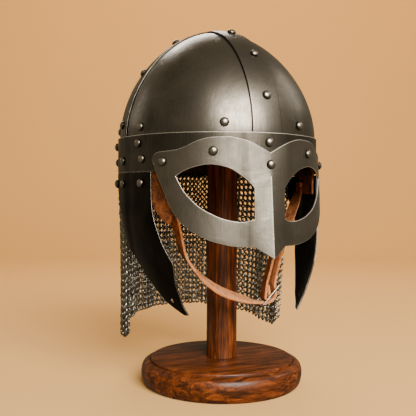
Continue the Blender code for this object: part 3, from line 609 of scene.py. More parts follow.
# %% Spectacle guard
GUARD_DROP = 0.1175
GUARD_TURN = radians(60.6)
GUARD_FLARE = 0.0052
GUARD_FLARE_START = 0.0140
GUARD_FLARE_TURN = radians(45)
NOSE_FOLD_WIDTH = 0.0440
NOSE_FOLD_START = 0.0150
NOSE_SLOPE = 0.0965
GUARD_EDGE = 0.0005
GUARD_SHARP_TURN = radians(13)
GUARD_ROWS = (
    # turn,  top,    eye_top, eye_low, low
    (0.000, 0.162, 0.443, 0.688, 1.000),
    (0.064, 0.128, 0.443, 0.688, 0.957),
    (0.139, 0.090, 0.443, 0.688, 0.907),
    (0.183, 0.073, 0.391, 0.703, 0.907),
    (0.242, 0.056, 0.344, 0.710, 0.907),
    (0.314, 0.042, 0.298, 0.701, 0.900),
    (0.394, 0.040, 0.271, 0.681, 0.883),
    (0.478, 0.045, 0.260, 0.644, 0.860),
    (0.536, 0.054, 0.263, 0.614, 0.834),
    (0.606, 0.077, 0.278, 0.562, 0.800),
    (0.699, 0.118, 0.311, 0.464, 0.736),
    (0.766, 0.139, 0.352, 0.352, 0.664),
    (0.829, 0.146, 0.350, 0.350, 0.566),
    (0.893, 0.150, 0.290, 0.290, 0.434),
    (0.930, 0.153, 0.260, 0.260, 0.370),
    (0.960, 0.160, 0.236, 0.236, 0.306),
    (0.987, 0.180, 0.217, 0.217, 0.252),
    (1.000, 0.205, 0.216, 0.216, 0.228),
)
NOSE_ROWS, EYE_ROWS, END_ROWS = GUARD_ROWS[:3], GUARD_ROWS[2:12], GUARD_ROWS[11:]
GUARD_COLUMNS = (8, 56, 26)
GUARD_STRIP_STEPS = 6


def guard_point(turn, depth):
    """Point of the guard's outer face, flared at its sides and folded out at the nose."""
    below = max(0, depth - GUARD_FLARE_START) / (GUARD_DROP - GUARD_FLARE_START)
    flare = GUARD_FLARE * below * min(abs(turn) / GUARD_FLARE_TURN, 1)
    point = oval(turn, BAND_OUT + lap_rise(oval(turn, 0)) + CLEAR + flare + STEEL, depth)
    beside = max(0, 1 - abs(point.x) / (NOSE_FOLD_WIDTH / 2))
    point.y -= NOSE_SLOPE * max(0, depth - NOSE_FOLD_START) * beside
    return point


def guard_columns():
    """Columns from the nose outwards: turn share, and the depths of its two strips of plate."""
    columns = []
    for rows, count in zip((NOSE_ROWS, EYE_ROWS, END_ROWS), GUARD_COLUMNS):
        first, last = rows[0][0], rows[-1][0]
        for step in range(count):
            at = first + (last - first) * step / count
            columns.append([at] + [smooth_value(rows, at, column) for column in (1, 2, 3, 4)])
    return columns + [list(GUARD_ROWS[-1])]


def build_guard():
    mesh = bmesh.new()
    columns = guard_columns()
    last = len(columns) - 1
    verts = {}

    def vert(column, strip, step):
        at, top, eye_top, eye_low, low = columns[abs(column)]
        start, end = ((top, eye_top), (eye_top, eye_low), (eye_low, low))[strip]
        depth = GUARD_DROP * (start + (end - start) * step / GUARD_STRIP_STEPS)
        turn = GUARD_TURN * at * (1 if column > 0 else -1)
        key = (column, round(depth, 7))
        if key not in verts:
            verts[key] = mesh.verts.new(HELMET_PLACE + guard_point(turn, depth))
        return verts[key]

    for column in range(-last, last):
        beside_eye = min(abs(column), abs(column + 1)) >= GUARD_COLUMNS[0]
        for strip in (0, 2) if beside_eye else (0, 1, 2):
            for step in range(GUARD_STRIP_STEPS):
                mesh.faces.new([
                    vert(column, strip, step), vert(column, strip, step + 1),
                    vert(column + 1, strip, step + 1), vert(column + 1, strip, step),
                ])
    turn_outward(mesh, HELMET_PLACE)
    guard = new_piece("spectacle_plate", mesh, guard_steel)
    add_wall(guard, STEEL, edge=GUARD_EDGE, segments=3, edge_highlight_and_shade=worn_and_highlit_bevel_steel, sharpest=GUARD_SHARP_TURN)
    return keep(guard, "guard_steel", "spectacle_guard")


build_guard()

# %% [markdown]
# Each cheek plate hangs below the brow band, leans in towards the chin, and has a small hole near
# its tip for a thong. Its front edge has one real corner, a third of the way up, so the table is
# read in two smooth parts.

# %% Cheek plates
CHEEK_DROP = 0.1378
LEFT_CHEEK_DROP = 0.1413
CHEEK_STAND_OUT = 0.0030
CHEEK_STAND_TURN = radians(90)
CHEEK_STAND_POWER = 1.5
CHEEK_FRONT_TURN = radians(61.0)
CHEEK_REAR_TURN = radians(103.8)
CHEEK_LEAN = 0.0198
CHEEK_LEAN_START = 0.0700
CHEEK_LEAN_RUN = 0.0900
CHEEK_LEAN_POWER = 2.2
CHEEK_TWIST = 0.0180
CHEEK_TWIST_MIDDLE = radians(70)
CHEEK_HOLE = 0.0042
CHEEK_HOLE_SHARE = 0.90
CHEEK_TOP = BROW_DEPTH + CLEAR
CHEEK_ROWS = (
    # drop,  front, rear,  left_rear
    (0.000, 1.000, 1.000, 1.000),
    (0.081, 1.000, 0.982, 0.982),
    (0.212, 0.993, 0.921, 0.921),
    (0.299, 0.976, 0.882, 0.875),
    (0.415, 0.928, 0.876, 0.852),
    (0.480, 0.895, 0.872, 0.837),
    (0.567, 0.840, 0.824, 0.809),
    (0.633, 0.790, 0.776, 0.780),
    (0.684, 0.789, 0.737, 0.757),
    (0.742, 0.788, 0.693, 0.729),
    (0.800, 0.779, 0.648, 0.697),
    (0.858, 0.763, 0.601, 0.658),
    (0.930, 0.744, 0.536, 0.600),
    (1.000, 0.700, 0.440, 0.490),
)
CHEEK_REAR_COLUMN = {-1: 2, 1: 3}
CHEEK_CORNER = 7
CHEEK_GRID = (72, 20)


def cheek_point(turn, depth, grow):
    """A point on the surface of the cheek plates, which leans in towards the chin and twists."""
    run = max(0, depth - CHEEK_LEAN_START) / CHEEK_LEAN_RUN
    inset = CHEEK_LEAN * run ** CHEEK_LEAN_POWER - CHEEK_TWIST * run * (CHEEK_TWIST_MIDDLE - abs(turn))
    return oval(turn, grow - inset, depth)


def cheek_edges(side, drop):
    upper = drop <= CHEEK_ROWS[CHEEK_CORNER][0]
    rows = CHEEK_ROWS[:CHEEK_CORNER + 1] if upper else CHEEK_ROWS[CHEEK_CORNER:]
    front = CHEEK_FRONT_TURN * smooth_value(rows, drop, 1)
    rear = CHEEK_REAR_TURN * smooth_value(CHEEK_ROWS, drop, CHEEK_REAR_COLUMN[side])
    return front, rear


def cheek_rise(turn):
    """How far out a cheek plate lies: it is flatter than the head, so its front edge stands off."""
    share = (CHEEK_STAND_TURN - abs(turn)) / (CHEEK_STAND_TURN - CHEEK_FRONT_TURN)
    return lap_rise(oval(turn, 0)) + CHEEK_STAND_OUT * min(max(share, 0), 1) ** CHEEK_STAND_POWER


def build_cheek(word, side, drop):
    def place(share, across):
        front, rear = cheek_edges(side, share)
        turn = side * (front + (rear - front) * across)
        return cheek_point(turn, CHEEK_TOP + drop * share, BAND_OUT + cheek_rise(turn))

    # The plate takes the near-black steel that paints its shade.
    plate = sheet(f"cheek_plate_{word}_steel", *CHEEK_GRID, place, shade_darkened_cheek_plate_steel)
    add_wall(plate, STEEL, edge_highlight_and_shade=worn_and_highlit_bevel_steel)
    settle(plate)
    middle = side * sum(cheek_edges(side, CHEEK_HOLE_SHARE)) / 2
    bpy.ops.mesh.primitive_cylinder_add(vertices=20, radius=CHEEK_HOLE / 2, depth=4 * CHEEK_HOLE)
    cutter = bpy.context.object
    cutter.location = HELMET_PLACE + cheek_point(middle, CHEEK_TOP + drop * CHEEK_HOLE_SHARE, 0)
    cutter.rotation_euler = oval_normal(middle).to_track_quat("Z", "Y").to_euler()
    hole = plate.modifiers.new("thong_hole", "BOOLEAN")
    hole.operation = "DIFFERENCE"
    hole.object = cutter
    keep(plate, "bowl_steel", "cheek_plate_" + word)
    bpy.data.objects.remove(cutter)


build_cheek("right", -1, CHEEK_DROP)
build_cheek("left", 1, LEFT_CHEEK_DROP)

# %% [markdown]
# Inside hang the leathers: a liner band round the brow and a flap behind each cheek plate. Leather
# has soft edges and never lies quite flat, so the flaps get a slow inward swell.

# %% Liner and flaps
FLAP_OUT = -0.5 * CLEAR
FLAP_IN = FLAP_OUT - LEATHER
LINER_OUT = FLAP_IN - FACET_ROOM
LINER_TOP = 0.0100
LINER_DROP = 0.0015
LINER_BACK_DEPTH = 0.0320
LINER_STEP_START = radians(85)
LINER_STEP_END = radians(90)
FLAP_FRONT_TURN = radians(48.4)
FLAP_REAR_TURN = radians(92.1)
LEFT_FLAP_REAR_TURN = radians(82)
FLAP_DROP = 0.0860
LEFT_FLAP_DROP = 0.0573
LEFT_FLAP_ROWS = ((0, 1), (0.5, 1), (1, 1))
FLAP_ROWS = (
    # turn,  low
    (0.000, 0.740),
    (0.040, 0.980),
    (0.090, 1.000),
    (0.160, 0.965),
    (0.230, 0.900),
    (0.300, 0.830),
    (0.370, 0.750),
    (0.460, 0.690),
    (0.640, 0.670),
    (0.820, 0.670),
    (1.000, 0.670),
)
FLAP_SWELL = 0.0006
SWELL_ACROSS, SWELL_DOWN = 9, 5
LINER_GRID = (4, 216)
FLAP_GRID = (24, 48)


def liner_point(share, across):
    turn = 2 * pi * across
    away = min(turn, 2 * pi - turn)
    back = min(max((away - LINER_STEP_START) / (LINER_STEP_END - LINER_STEP_START), 0), 1)
    low = (brow_depth(turn) + LINER_DROP) * (1 - back) + LINER_BACK_DEPTH * back
    return oval(turn, LINER_OUT, low + (LINER_TOP - low) * share)


liner = sheet("liner_leather_band", *LINER_GRID, liner_point, liner_leather, ring=True)
add_wall(liner, LEATHER)
keep(liner, "liner_leather", "liner_band")


def build_flap(word, side, rows, rear_turn, drop):
    top = PANEL_FOOT + 2 * CLEAR

    def place(share, across):
        turn = FLAP_FRONT_TURN + (rear_turn - FLAP_FRONT_TURN) * across
        low = drop * smooth_value(rows, across, 1)
        depth = low + (top - low) * share
        wave = cos(SWELL_ACROSS * across + SWELL_DOWN * share + side)
        swell = FLAP_SWELL * (1 - share) * (0.5 - 0.5 * wave)
        return cheek_point(side * turn, depth, FLAP_OUT - swell)

    flap = sheet(f"cheek_flap_{word}_leather", *FLAP_GRID, place, flap_leather)
    add_wall(flap, LEATHER)
    keep(flap, "flap_leather", "cheek_flap_" + word)


build_flap("right", -1, FLAP_ROWS, FLAP_REAR_TURN, FLAP_DROP)
build_flap("left", 1, LEFT_FLAP_ROWS, LEFT_FLAP_REAR_TURN, LEFT_FLAP_DROP)

# %% [markdown]
# The chin strap is an 11 mm strip in two lengths that meet in a wire slide. Each is a rounded
# section carried along its route, which repeats the CAD route's points. Its grain side, flesh side
# and cut edges are told apart face by face.

# %% Chin strap
STRAP_WIDTH = 0.0110
STRAP_DROP = 0.1680
RIGHT_STRAP_TURN = radians(-52.7)
LEFT_STRAP_TURN = radians(80)
RIGHT_STRAP_TOP = 0.0500
LEFT_STRAP_TOP = 0.0440
STRAP_SEAT_LENGTH = 0.0060
STRAP_SEAT = FLAP_IN - CLEAR - FACET_ROOM - 0.5 * STRAP_THICK
STRAP_TURNED_BACK = 0.0120
STRAP_CLOSE_SHARE = 0.60
SLIDE_WIRE = 0.0022
SLIDE_LENGTH = 0.0300
SLIDE_WIDTH = 0.0165
SLIDE_TILT = radians(46)
SLIDE_BAR_SHARE = 0.40
SLIDE_CENTRE = (0.314, -0.535, 0.9585)
RIGHT_STRAP_ROUTE = (
    # x,      y,      z,      across x, y, z
    (-0.744, -0.562, 0.436, -0.48, 0.88, 0.00),
    (-0.683, -0.553, 0.560, -0.30, 0.95, 0.05),
    (-0.614, -0.544, 0.692, -0.10, 0.98, 0.20),
    (-0.518, -0.540, 0.770, 0.00, 0.90, 0.45),
    (-0.388, -0.535, 0.850, 0.00, 0.76, 0.65),
    (-0.239, -0.535, 0.912, 0.00, 0.68, 0.74),
    (-0.107, -0.535, 0.948, 0.00, 0.68, 0.74),
    (0.066, -0.535, 0.982, 0.00, 0.85, 0.50),
    (0.173, -0.535, 0.999, 0.00, 1.00, 0.10),
    (0.237, -0.535, 1.004, 0.00, 1.00, 0.00),
    (0.301, -0.535, 1.005, 0.00, 1.00, 0.00),
    (0.359, -0.535, 0.988, 0.00, 1.00, 0.00),
    (0.392, -0.535, 0.955, 0.00, 1.00, 0.00),
    (0.380, -0.535, 0.915, 0.00, 1.00, 0.00),
    (0.380, -0.535, 0.880, 0.00, 1.00, 0.00),
    (0.404, -0.532, 0.820, 0.00, 1.00, 0.00),
    (0.443, -0.530, 0.740, 0.00, 1.00, 0.00),
    (0.483, -0.526, 0.670, 0.00, 1.00, 0.00),
)
LEFT_STRAP_ROUTE = (
    # x,      y,      z,      across x, y, z
    (0.931, -0.186, 0.324, 0.12, 0.99, 0.00),
    (0.868, -0.228, 0.376, -0.35, 0.92, 0.10),
    (0.809, -0.268, 0.418, -0.70, 0.65, 0.25),
    (0.746, -0.313, 0.462, -0.70, 0.65, 0.25),
    (0.680, -0.362, 0.515, -0.45, 0.87, 0.15),
    (0.592, -0.424, 0.562, -0.10, 0.98, 0.05),
    (0.473, -0.510, 0.640, 0.20, 0.98, 0.00),
    (0.374, -0.530, 0.735, 0.20, 0.98, 0.00),
    (0.329, -0.534, 0.810, 0.12, 0.99, 0.00),
    (0.289, -0.535, 0.880, 0.04, 1.00, 0.00),
)
ROUTE_STEPS = 9
SECTION_ROUND = 0.0006
GRAIN_FACE = 11
FLESH_FACE = 3
TURN_BACK_STEPS = 16


def route_point(x, y, z):
    return Vector((x * HALF_WIDTH, y * HALF_LENGTH, -z * STRAP_DROP))


def smooth_route(seat_turn, seat_depth, route):
    """Centres and width directions along a strap, from its seat on the flap through its route."""
    outwards = oval_normal(seat_turn)
    backwards = Vector((-outwards.y, outwards.x, 0)) * (1 if seat_turn > 0 else -1)
    points = [oval(seat_turn, STRAP_SEAT, seat_depth + STRAP_SEAT_LENGTH * end) for end in (0, 1)]
    widths = [backwards, backwards]
    points += [route_point(*row[:3]) for row in route]
    widths += [Vector(row[3:]) for row in route]
    centres, across = [], []
    for index in range(len(points) - 1):
        a, b = points[max(index - 1, 0)], points[index]
        c, d = points[index + 1], points[min(index + 2, len(points) - 1)]
        for step in range(ROUTE_STEPS):
            t = step / ROUTE_STEPS
            bend = (c - a) * t + (2 * a - 5 * b + 4 * c - d) * t * t + (3 * b - a - 3 * c + d) * t ** 3
            centres.append(b + bend / 2)
            across.append(widths[index].lerp(widths[index + 1], t))
    centres.append(points[-1])
    across.append(widths[-1])
    return centres, across


def strap_section():
    """A rounded oblong as (across, through) points, four to a corner."""
    wide, deep, bend = STRAP_WIDTH / 2, STRAP_THICK / 2, SECTION_ROUND
    corners = ((1, 1, 0), (-1, 1, 90), (-1, -1, 180), (1, -1, 270))
    rows = []
    for x_side, y_side, start in corners:
        for step in range(4):
            angle = radians(start + 30 * step)
            x = x_side * (wide - bend) + bend * cos(angle)
            y = y_side * (deep - bend) + bend * sin(angle)
            rows.append((x, y))
    return rows


def build_strap(name, centres, across, nodes):
    section = strap_section()
    mesh = bmesh.new()
    rings = []
    last = len(centres) - 1
    for index, centre in enumerate(centres):
        ahead = (centres[min(index + 1, last)] - centres[max(index - 1, 0)]).normalized()
        wide = (across[index] - ahead * across[index].dot(ahead)).normalized()
        through = ahead.cross(wide).normalized()
        rings.append([mesh.verts.new(HELMET_PLACE + centre + wide * x + through * y) for x, y in section])
    for faces in bridge(mesh, rings):
        for k, face in enumerate(faces):
            face.material_index = 1 if k == GRAIN_FACE else 0 if k == FLESH_FACE else 2
    for ring in (rings[0], rings[-1]):
        mesh.faces.new(ring).material_index = 2
    bmesh.ops.recalc_face_normals(mesh, faces=mesh.faces)
    strap = new_piece(name, mesh, strap_flesh)
    strap.data.materials.append(strap_grain)
    strap.data.materials.append(strap_flesh)
    print(name, "length", round(sum((b - a).length for a, b in zip(centres, centres[1:])), 4), "m")
    keep(strap, "strap_leather", *nodes)


build_strap(
    "chin_strap_right_leather", *smooth_route(RIGHT_STRAP_TURN, RIGHT_STRAP_TOP, RIGHT_STRAP_ROUTE),
    ["chin_strap_right"],
)

SLIDE_LONG_WAY = Vector((cos(SLIDE_TILT), 0, sin(SLIDE_TILT)))
slide_centre = route_point(*SLIDE_CENTRE)
slide_bar_centre = slide_centre + SLIDE_LONG_WAY * SLIDE_LENGTH * (SLIDE_BAR_SHARE - 0.5)


def left_strap_route():
    centres, across = smooth_route(LEFT_STRAP_TURN, LEFT_STRAP_TOP, LEFT_STRAP_ROUTE)
    bend = SLIDE_WIRE / 2 + CLEAR + STRAP_THICK / 2
    down = (slide_bar_centre - centres[-1]).normalized()
    start = atan2(down.x, -down.z) + pi
    for step in range(TURN_BACK_STEPS + 1):
        angle = start + pi * step / TURN_BACK_STEPS
        centres.append(slide_bar_centre + Vector((cos(angle), 0, sin(angle))) * bend)
        across.append(Vector((0, 1, 0)))
    closed = (STRAP_THICK + CLEAR - 2 * bend) * STRAP_CLOSE_SHARE
    centres.append(centres[-1] - down * STRAP_TURNED_BACK + Vector((-down.z, 0, down.x)) * closed)
    across.append(Vector((0, 1, 0)))
    return centres, across


build_strap("chin_strap_left_leather", *left_strap_route(), ["chin_strap_left"])

# %% [markdown]
# The slide is bent from one piece of bright 2.2 mm wire with a bar across it. A round section is
# carried round an oblong with small bend radii, which is how such wire really turns a corner.

# %% Strap slide
SLIDE_BEND = 0.0020
SLIDE_BEND_STEPS = 5


def tube(name, points, radius, closed, material, sides=14):
    mesh = bmesh.new()
    rings = []
    count = len(points)
    upwards = Vector((-sin(SLIDE_TILT), 0, cos(SLIDE_TILT)))
    for index, point in enumerate(points):
        before = points[index - 1] if closed or index else point
        after = points[(index + 1) % count] if closed or index < count - 1 else point
        ahead = (after - before).normalized()
        outwards = ahead.cross(upwards).normalized()
        rings.append([mesh.verts.new(point + (outwards * cos(a) + upwards * sin(a)) * radius)
                      for a in (2 * pi * side / sides for side in range(sides))])
    bridge(mesh, rings + rings[:1] if closed else rings)
    if not closed:
        mesh.faces.new(rings[0])
        mesh.faces.new(rings[-1])
    bmesh.ops.recalc_face_normals(mesh, faces=mesh.faces)
    return new_piece(name, mesh, material)


slide_points = []
wide_way = Vector((0, 1, 0))
for along, wide, start in ((1, 1, 0), (-1, 1, 90), (-1, -1, 180), (1, -1, 270)):
    middle = HELMET_PLACE + slide_centre
    middle += SLIDE_LONG_WAY * along * (SLIDE_LENGTH / 2 - SLIDE_BEND)
    middle += wide_way * wide * (SLIDE_WIDTH / 2 - SLIDE_BEND)
    for step in range(SLIDE_BEND_STEPS + 1):
        angle = radians(start + 90 * step / SLIDE_BEND_STEPS)
        slide_points.append(middle + (SLIDE_LONG_WAY * cos(angle) + wide_way * sin(angle)) * SLIDE_BEND)
slide = tube("slide_wire_frame", slide_points, SLIDE_WIRE / 2, True, slide_wire)
keep(slide, "wire_steel", "strap_slide")
bar_half = (SLIDE_WIDTH - SLIDE_WIRE - 2 * CLEAR) / 2
bar_points = [HELMET_PLACE + slide_bar_centre + wide_way * bar_half * end for end in (-1, 1)]
bar = tube("slide_wire_bar", bar_points, SLIDE_WIRE / 2, False, slide_wire)
keep(bar, "wire_steel", "strap_slide_bar")

# %% [markdown]
# Rivets repeat, so Geometry Nodes set them. A guide mesh holds one point for each rivet, with the
# direction that its head faces as an attribute. The tree makes one domed head, flattened where it
# meets the plate, stands a copy on each point and makes the copies real. A head is 8.8 mm across
# and 3.2 mm high, hammered by hand, so a little random tilt and size is added with a fixed seed.

# %% Where the rivets are
RIVET_WIDTH = 0.0088
RIVET_HEIGHT = 0.0032
CREST_RIVETS = ((0.22, 0.0625), (0.50, 0.1406), (0.79, 0.0781))
SIDE_RIVETS = (0.085, 0.42, 0.70)
PANEL_RIVETS = ((22.6, 0.0776), (72.1, 0.0690), (105.7, 0.0690), (156.5, 0.0776))
LEFT_PANEL_RIVETS = ((22.6, 0.0776), (67.0, 0.0730), (105.7, 0.0690), (156.5, 0.0776))
BROW_RIVETS = ((72.5, 0.2274), (69.3, 0.6575), (87.7, 0.6822), (107.8, 0.6822), (105.6, 0.2274))
BROW_MIDDLE_RIVETS = ((0.0, 0.2466), (180.0, 0.2466))
GUARD_RIVETS = ((28.0, 0.1532), (54.0, 0.2340))
NOSE_RIVET = 0.2553
CHEEK_RIVETS = ((68.8, 0.0784), (87.6, 0.0827), (100.4, 0.0798))


def rivet_places():
    """Rows of (point, outward direction) in the helmet's frame."""
    rows = []

    def on_bowl(start, grow, kept):
        point = onto_bowl(start, grow, kept)
        rows.append((point, bowl_normal(point, grow)))

    def under_head(angle, rise):
        return BAND_OUT + max(rise(angle + RIVET_WIDTH / 2 / HALF_WIDTH * end) for end in (-1, 0, 1))

    for climb, aside in CREST_RIVETS:
        reach, height = arch(climb)
        for front in (-1, 1):
            on_bowl((aside * CREST_FOOT_WIDTH, front * HALF_LENGTH * reach, BOWL_HEIGHT * height), BAND_OUT, 0)
    for climb in SIDE_RIVETS:
        reach, height = arch(climb)
        for side in (-1, 1):
            on_bowl((side * HALF_WIDTH * reach, SIDE_BACK, BOWL_HEIGHT * height), BAND_OUT, 1)
    for side, places in ((-1, PANEL_RIVETS), (1, LEFT_PANEL_RIVETS)):
        for turn, rise in places:
            on_bowl(tuple(oval(side * radians(turn), 0, -rise * BOWL_HEIGHT)), 0, 2)
    brow = [(side * turn, drop) for turn, drop in BROW_RIVETS for side in (-1, 1)]
    for turn, drop in brow + list(BROW_MIDDLE_RIVETS):
        angle = radians(turn)
        out = under_head(angle, lambda a: lap_rise(oval(a, 0)))
        rows.append((oval(angle, out, drop * BROW_DEPTH), oval_normal(angle)))
    for turn, drop in GUARD_RIVETS:
        for side in (-1, 1):
            angle = side * radians(turn)
            rows.append((guard_point(angle, drop * GUARD_DROP), oval_normal(angle)))
    rows.append((guard_point(0, NOSE_RIVET * GUARD_DROP), Vector((0, -1, NOSE_SLOPE)).normalized()))
    for turn, drop in CHEEK_RIVETS:
        for side in (-1, 1):
            angle = side * radians(turn)
            out = under_head(angle, cheek_rise)
            rows.append((cheek_point(angle, CHEEK_TOP + drop * CHEEK_DROP, out), oval_normal(angle)))
    return rows


def guide_mesh(name, rows, vectors, numbers=()):
    """A mesh of loose points, with a vector attribute and number attributes for each."""
    data = bpy.data.meshes.new(name)
    data.from_pydata([tuple(row["point"]) for row in rows], [], [])
    for key in vectors:
        attribute = data.attributes.new(key, "FLOAT_VECTOR", "POINT")
        attribute.data.foreach_set("vector", [value for row in rows for value in row[key]])
    for key in numbers:
        attribute = data.attributes.new(key, "FLOAT", "POINT")
        attribute.data.foreach_set("value", [row[key] for row in rows])
    piece = bpy.data.objects.new(name, data)
    scene.collection.objects.link(piece)
    return piece


def new_tree(name, sizes):
    """A geometry tree with a geometry input and named size inputs, and the sockets that give them."""
    tree = bpy.data.node_groups.new(name, "GeometryNodeTree")
    tree.interface.new_socket("Guide", in_out="INPUT", socket_type="NodeSocketGeometry")
    for label, value in sizes.items():
        kind = "NodeSocketInt" if isinstance(value, int) else "NodeSocketFloat"
        kind = "NodeSocketMaterial" if isinstance(value, bpy.types.Material) else kind
        tree.interface.new_socket(label, in_out="INPUT", socket_type=kind)
    tree.interface.new_socket("Pieces", in_out="OUTPUT", socket_type="NodeSocketGeometry")
    return tree, node(tree, "NodeGroupInput").outputs


def run_tree(piece, tree, sizes):
    """Adds the tree as a modifier and sets each named input by its socket's identifier."""
    modifier = piece.modifiers.new(tree.name, "NODES")
    modifier.node_group = tree
    for item in tree.interface.items_tree:
        if item.item_type == "SOCKET" and item.in_out == "INPUT" and item.name in sizes:
            modifier[item.identifier] = sizes[item.name]


def reckon(tree, operation, first, second):
    """One sum on two numbers or sockets."""
    return node(tree, "ShaderNodeMath", {0: first, 1: second}, operation=operation).outputs[0]


def point_value(tree, name, kind):
    """An attribute of the guide's points."""
    return node(tree, "GeometryNodeInputNamedAttribute", {"Name": name}, data_type=kind).outputs["Attribute"]


def random_vector(tree, given, low, high):
    return node(tree, "FunctionNodeRandomValue", {
        "Min": low, "Max": high, "Seed": given["Seed"],
    }, data_type="FLOAT_VECTOR").outputs[0]


def turned_by(tree, rotation, turn):
    """A rotation turned further about its own axes."""
    return node(tree, "FunctionNodeRotateRotation", {
        "Rotation": rotation, "Rotate By": turn,
    }, rotation_space="LOCAL").outputs[0]


def stand_copies(tree, given, **copying):
    """Stands a copy on each point, makes the copies real and gives them the material."""
    copies = node(tree, "GeometryNodeInstanceOnPoints", copying)
    real = node(tree, "GeometryNodeRealizeInstances", {0: copies.outputs[0]})
    smooth = node(tree, "GeometryNodeSetShadeSmooth", {0: real.outputs[0]})
    dressed = node(tree, "GeometryNodeSetMaterial", {"Geometry": smooth.outputs[0], "Material": given["Material"]})
    node(tree, "NodeGroupOutput", {"Pieces": dressed.outputs[0]})
    return tree


# %% Rivet heads by Geometry Nodes
FOOT_LEVEL = -0.05
RIVET_TILT = 0.05
ANY_TURN = 6.28
RIVET_SCALES = (0.96, 1.05)
HEAD_SIDES = 22
HEAD_RINGS = 12


def rivet_tree(sizes):
    tree, given = new_tree("rivet_heads", sizes)
    ball = node(tree, "GeometryNodeMeshUVSphere", {"Segments": HEAD_SIDES, "Rings": HEAD_RINGS, "Radius": 1.0})
    place = node(tree, "ShaderNodeSeparateXYZ", {0: node(tree, "GeometryNodeInputPosition").outputs[0]}).outputs
    half = reckon(tree, "MULTIPLY", given["Head Width"], 0.5)
    flat = reckon(tree, "MAXIMUM", place["Z"], FOOT_LEVEL)
    shape = node(tree, "ShaderNodeCombineXYZ", {
        "X": reckon(tree, "MULTIPLY", place["X"], half), "Y": reckon(tree, "MULTIPLY", place["Y"], half),
        "Z": reckon(tree, "MULTIPLY", flat, given["Head Height"]),
    })
    head = node(tree, "GeometryNodeSetPosition", {"Geometry": ball.outputs["Mesh"], "Position": shape.outputs[0]})
    marked = node(tree, "GeometryNodeStoreNamedAttribute", {
        "Geometry": head.outputs[0], "Name": "crown",
        "Value": reckon(tree, "DIVIDE", place["Z"], given["Head Height"]),
    }, data_type="FLOAT", domain="POINT")
    facing = point_value(tree, "facing", "FLOAT_VECTOR")
    upright = node(tree, "FunctionNodeAlignRotationToVector", {"Vector": facing}, axis="Z")
    tilt = random_vector(tree, given, (-RIVET_TILT, -RIVET_TILT, 0), (RIVET_TILT, RIVET_TILT, ANY_TURN))
    low, high = RIVET_SCALES
    size = node(tree, "FunctionNodeRandomValue", {2: low, 3: high, "Seed": given["Seed"]}, data_type="FLOAT")
    return stand_copies(
        tree, given, Points=given["Guide"], Instance=marked.outputs[0],
        Rotation=turned_by(tree, upright.outputs[0], tilt), Scale=size.outputs[1],
    )


rivet_rows = [{"point": HELMET_PLACE + point + facing * CLEAR, "facing": facing} for point, facing in rivet_places()]
rivet_sizes = {"Head Width": RIVET_WIDTH, "Head Height": RIVET_HEIGHT, "Seed": 7, "Material": rivet_steel}
rivets = guide_mesh("rivet_head_set", rivet_rows, ["facing"])
run_tree(rivets, rivet_tree(rivet_sizes), rivet_sizes)
rivet_nodes = [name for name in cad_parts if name.startswith("rivet_")]
keep(rivets, "rivet_steel", *rivet_nodes)
print("rivets:", len(rivet_rows), "for", len(rivet_nodes), "CAD heads")

# %% [markdown]
# The mail looks like a four-in-one weave and is drawn as a leaning lattice: each column of rings
# sits half a ring below its neighbours and leans the opposite way. So the rings lap, and the laps
# make the chevrons of glints. Rings are 8.5 mm across outside. Their section has four sides and
# measures 2.5 mm from corner to corner, which looks like a round wire of about 1.8 mm. Smaller rings
# of thinner wire would need more triangles than there is room for. A guide point stands for each
# ring, on the curtain's own surface, with its outward direction, its downward direction and its lean.

# %% Mail curtain by Geometry Nodes
MAIL_HALF_DEPTH = 0.0040
MAIL_MIDDLE = -CLEAR - MAIL_HALF_DEPTH
MAIL_TOP = LINER_BACK_DEPTH + 2 * CLEAR
MAIL_FRONT_TURN = radians(94.2)
MAIL_SPREAD = radians(7)
MAIL_HEM = 0.2140
MAIL_HANG = 0.0015
MAIL_WAVES = 9
MAIL_WAVE_DEPTH = 0.0022
HEM_ROWS = (
    # turn,  low
    (0.000, 0.975),
    (0.060, 1.000),
    (0.150, 0.992),
    (0.300, 0.965),
    (0.450, 0.943),
    (0.650, 0.925),
    (1.000, 0.911),
)
RING_OUTSIDE = 0.0085
RING_WIRE = 0.0025
RING_LEAN = radians(42)
RING_TILT = radians(14)
RING_TURN_JITTER = (0.16, 0.10, 0)
RING_PLACE_JITTER = (0.0003, 0.0003, 0.0004)
COLUMN_PITCH = 0.0028
RING_PITCH = 0.0069
RING_SIDES = 8
WIRE_SIDES = 4
TOP_RING_DROP = 0.8
MIDDLE_HEM = HEM_ROWS[3][1]
DRAPE = 0.0050
DRAPE_START = radians(12)
DRAPE_END = radians(20)
DRAPE_RUN = 0.08


def mail_point(across, run):
    """Point of the curtain's middle surface: across runs from -1 to 1 round the back, run from top to hem."""
    start = MAIL_FRONT_TURN + MAIL_SPREAD * run
    turn = pi + across * (pi - start)
    hem = MAIL_HEM * smooth_value(HEM_ROWS, min(1 - abs(across), 1), 1)
    wave = MAIL_WAVE_DEPTH * run * (cos(across * MAIL_WAVES * pi) - 1)
    from_plate = ((1 - abs(across)) * (pi - start) - DRAPE_START) / (DRAPE_END - DRAPE_START)
    drape = DRAPE * min(max(from_plate, 0), 1) * min(run / DRAPE_RUN, 1)
    return oval(turn, MAIL_MIDDLE + wave + drape + MAIL_HANG * run * run, MAIL_TOP + (hem - MAIL_TOP) * run)


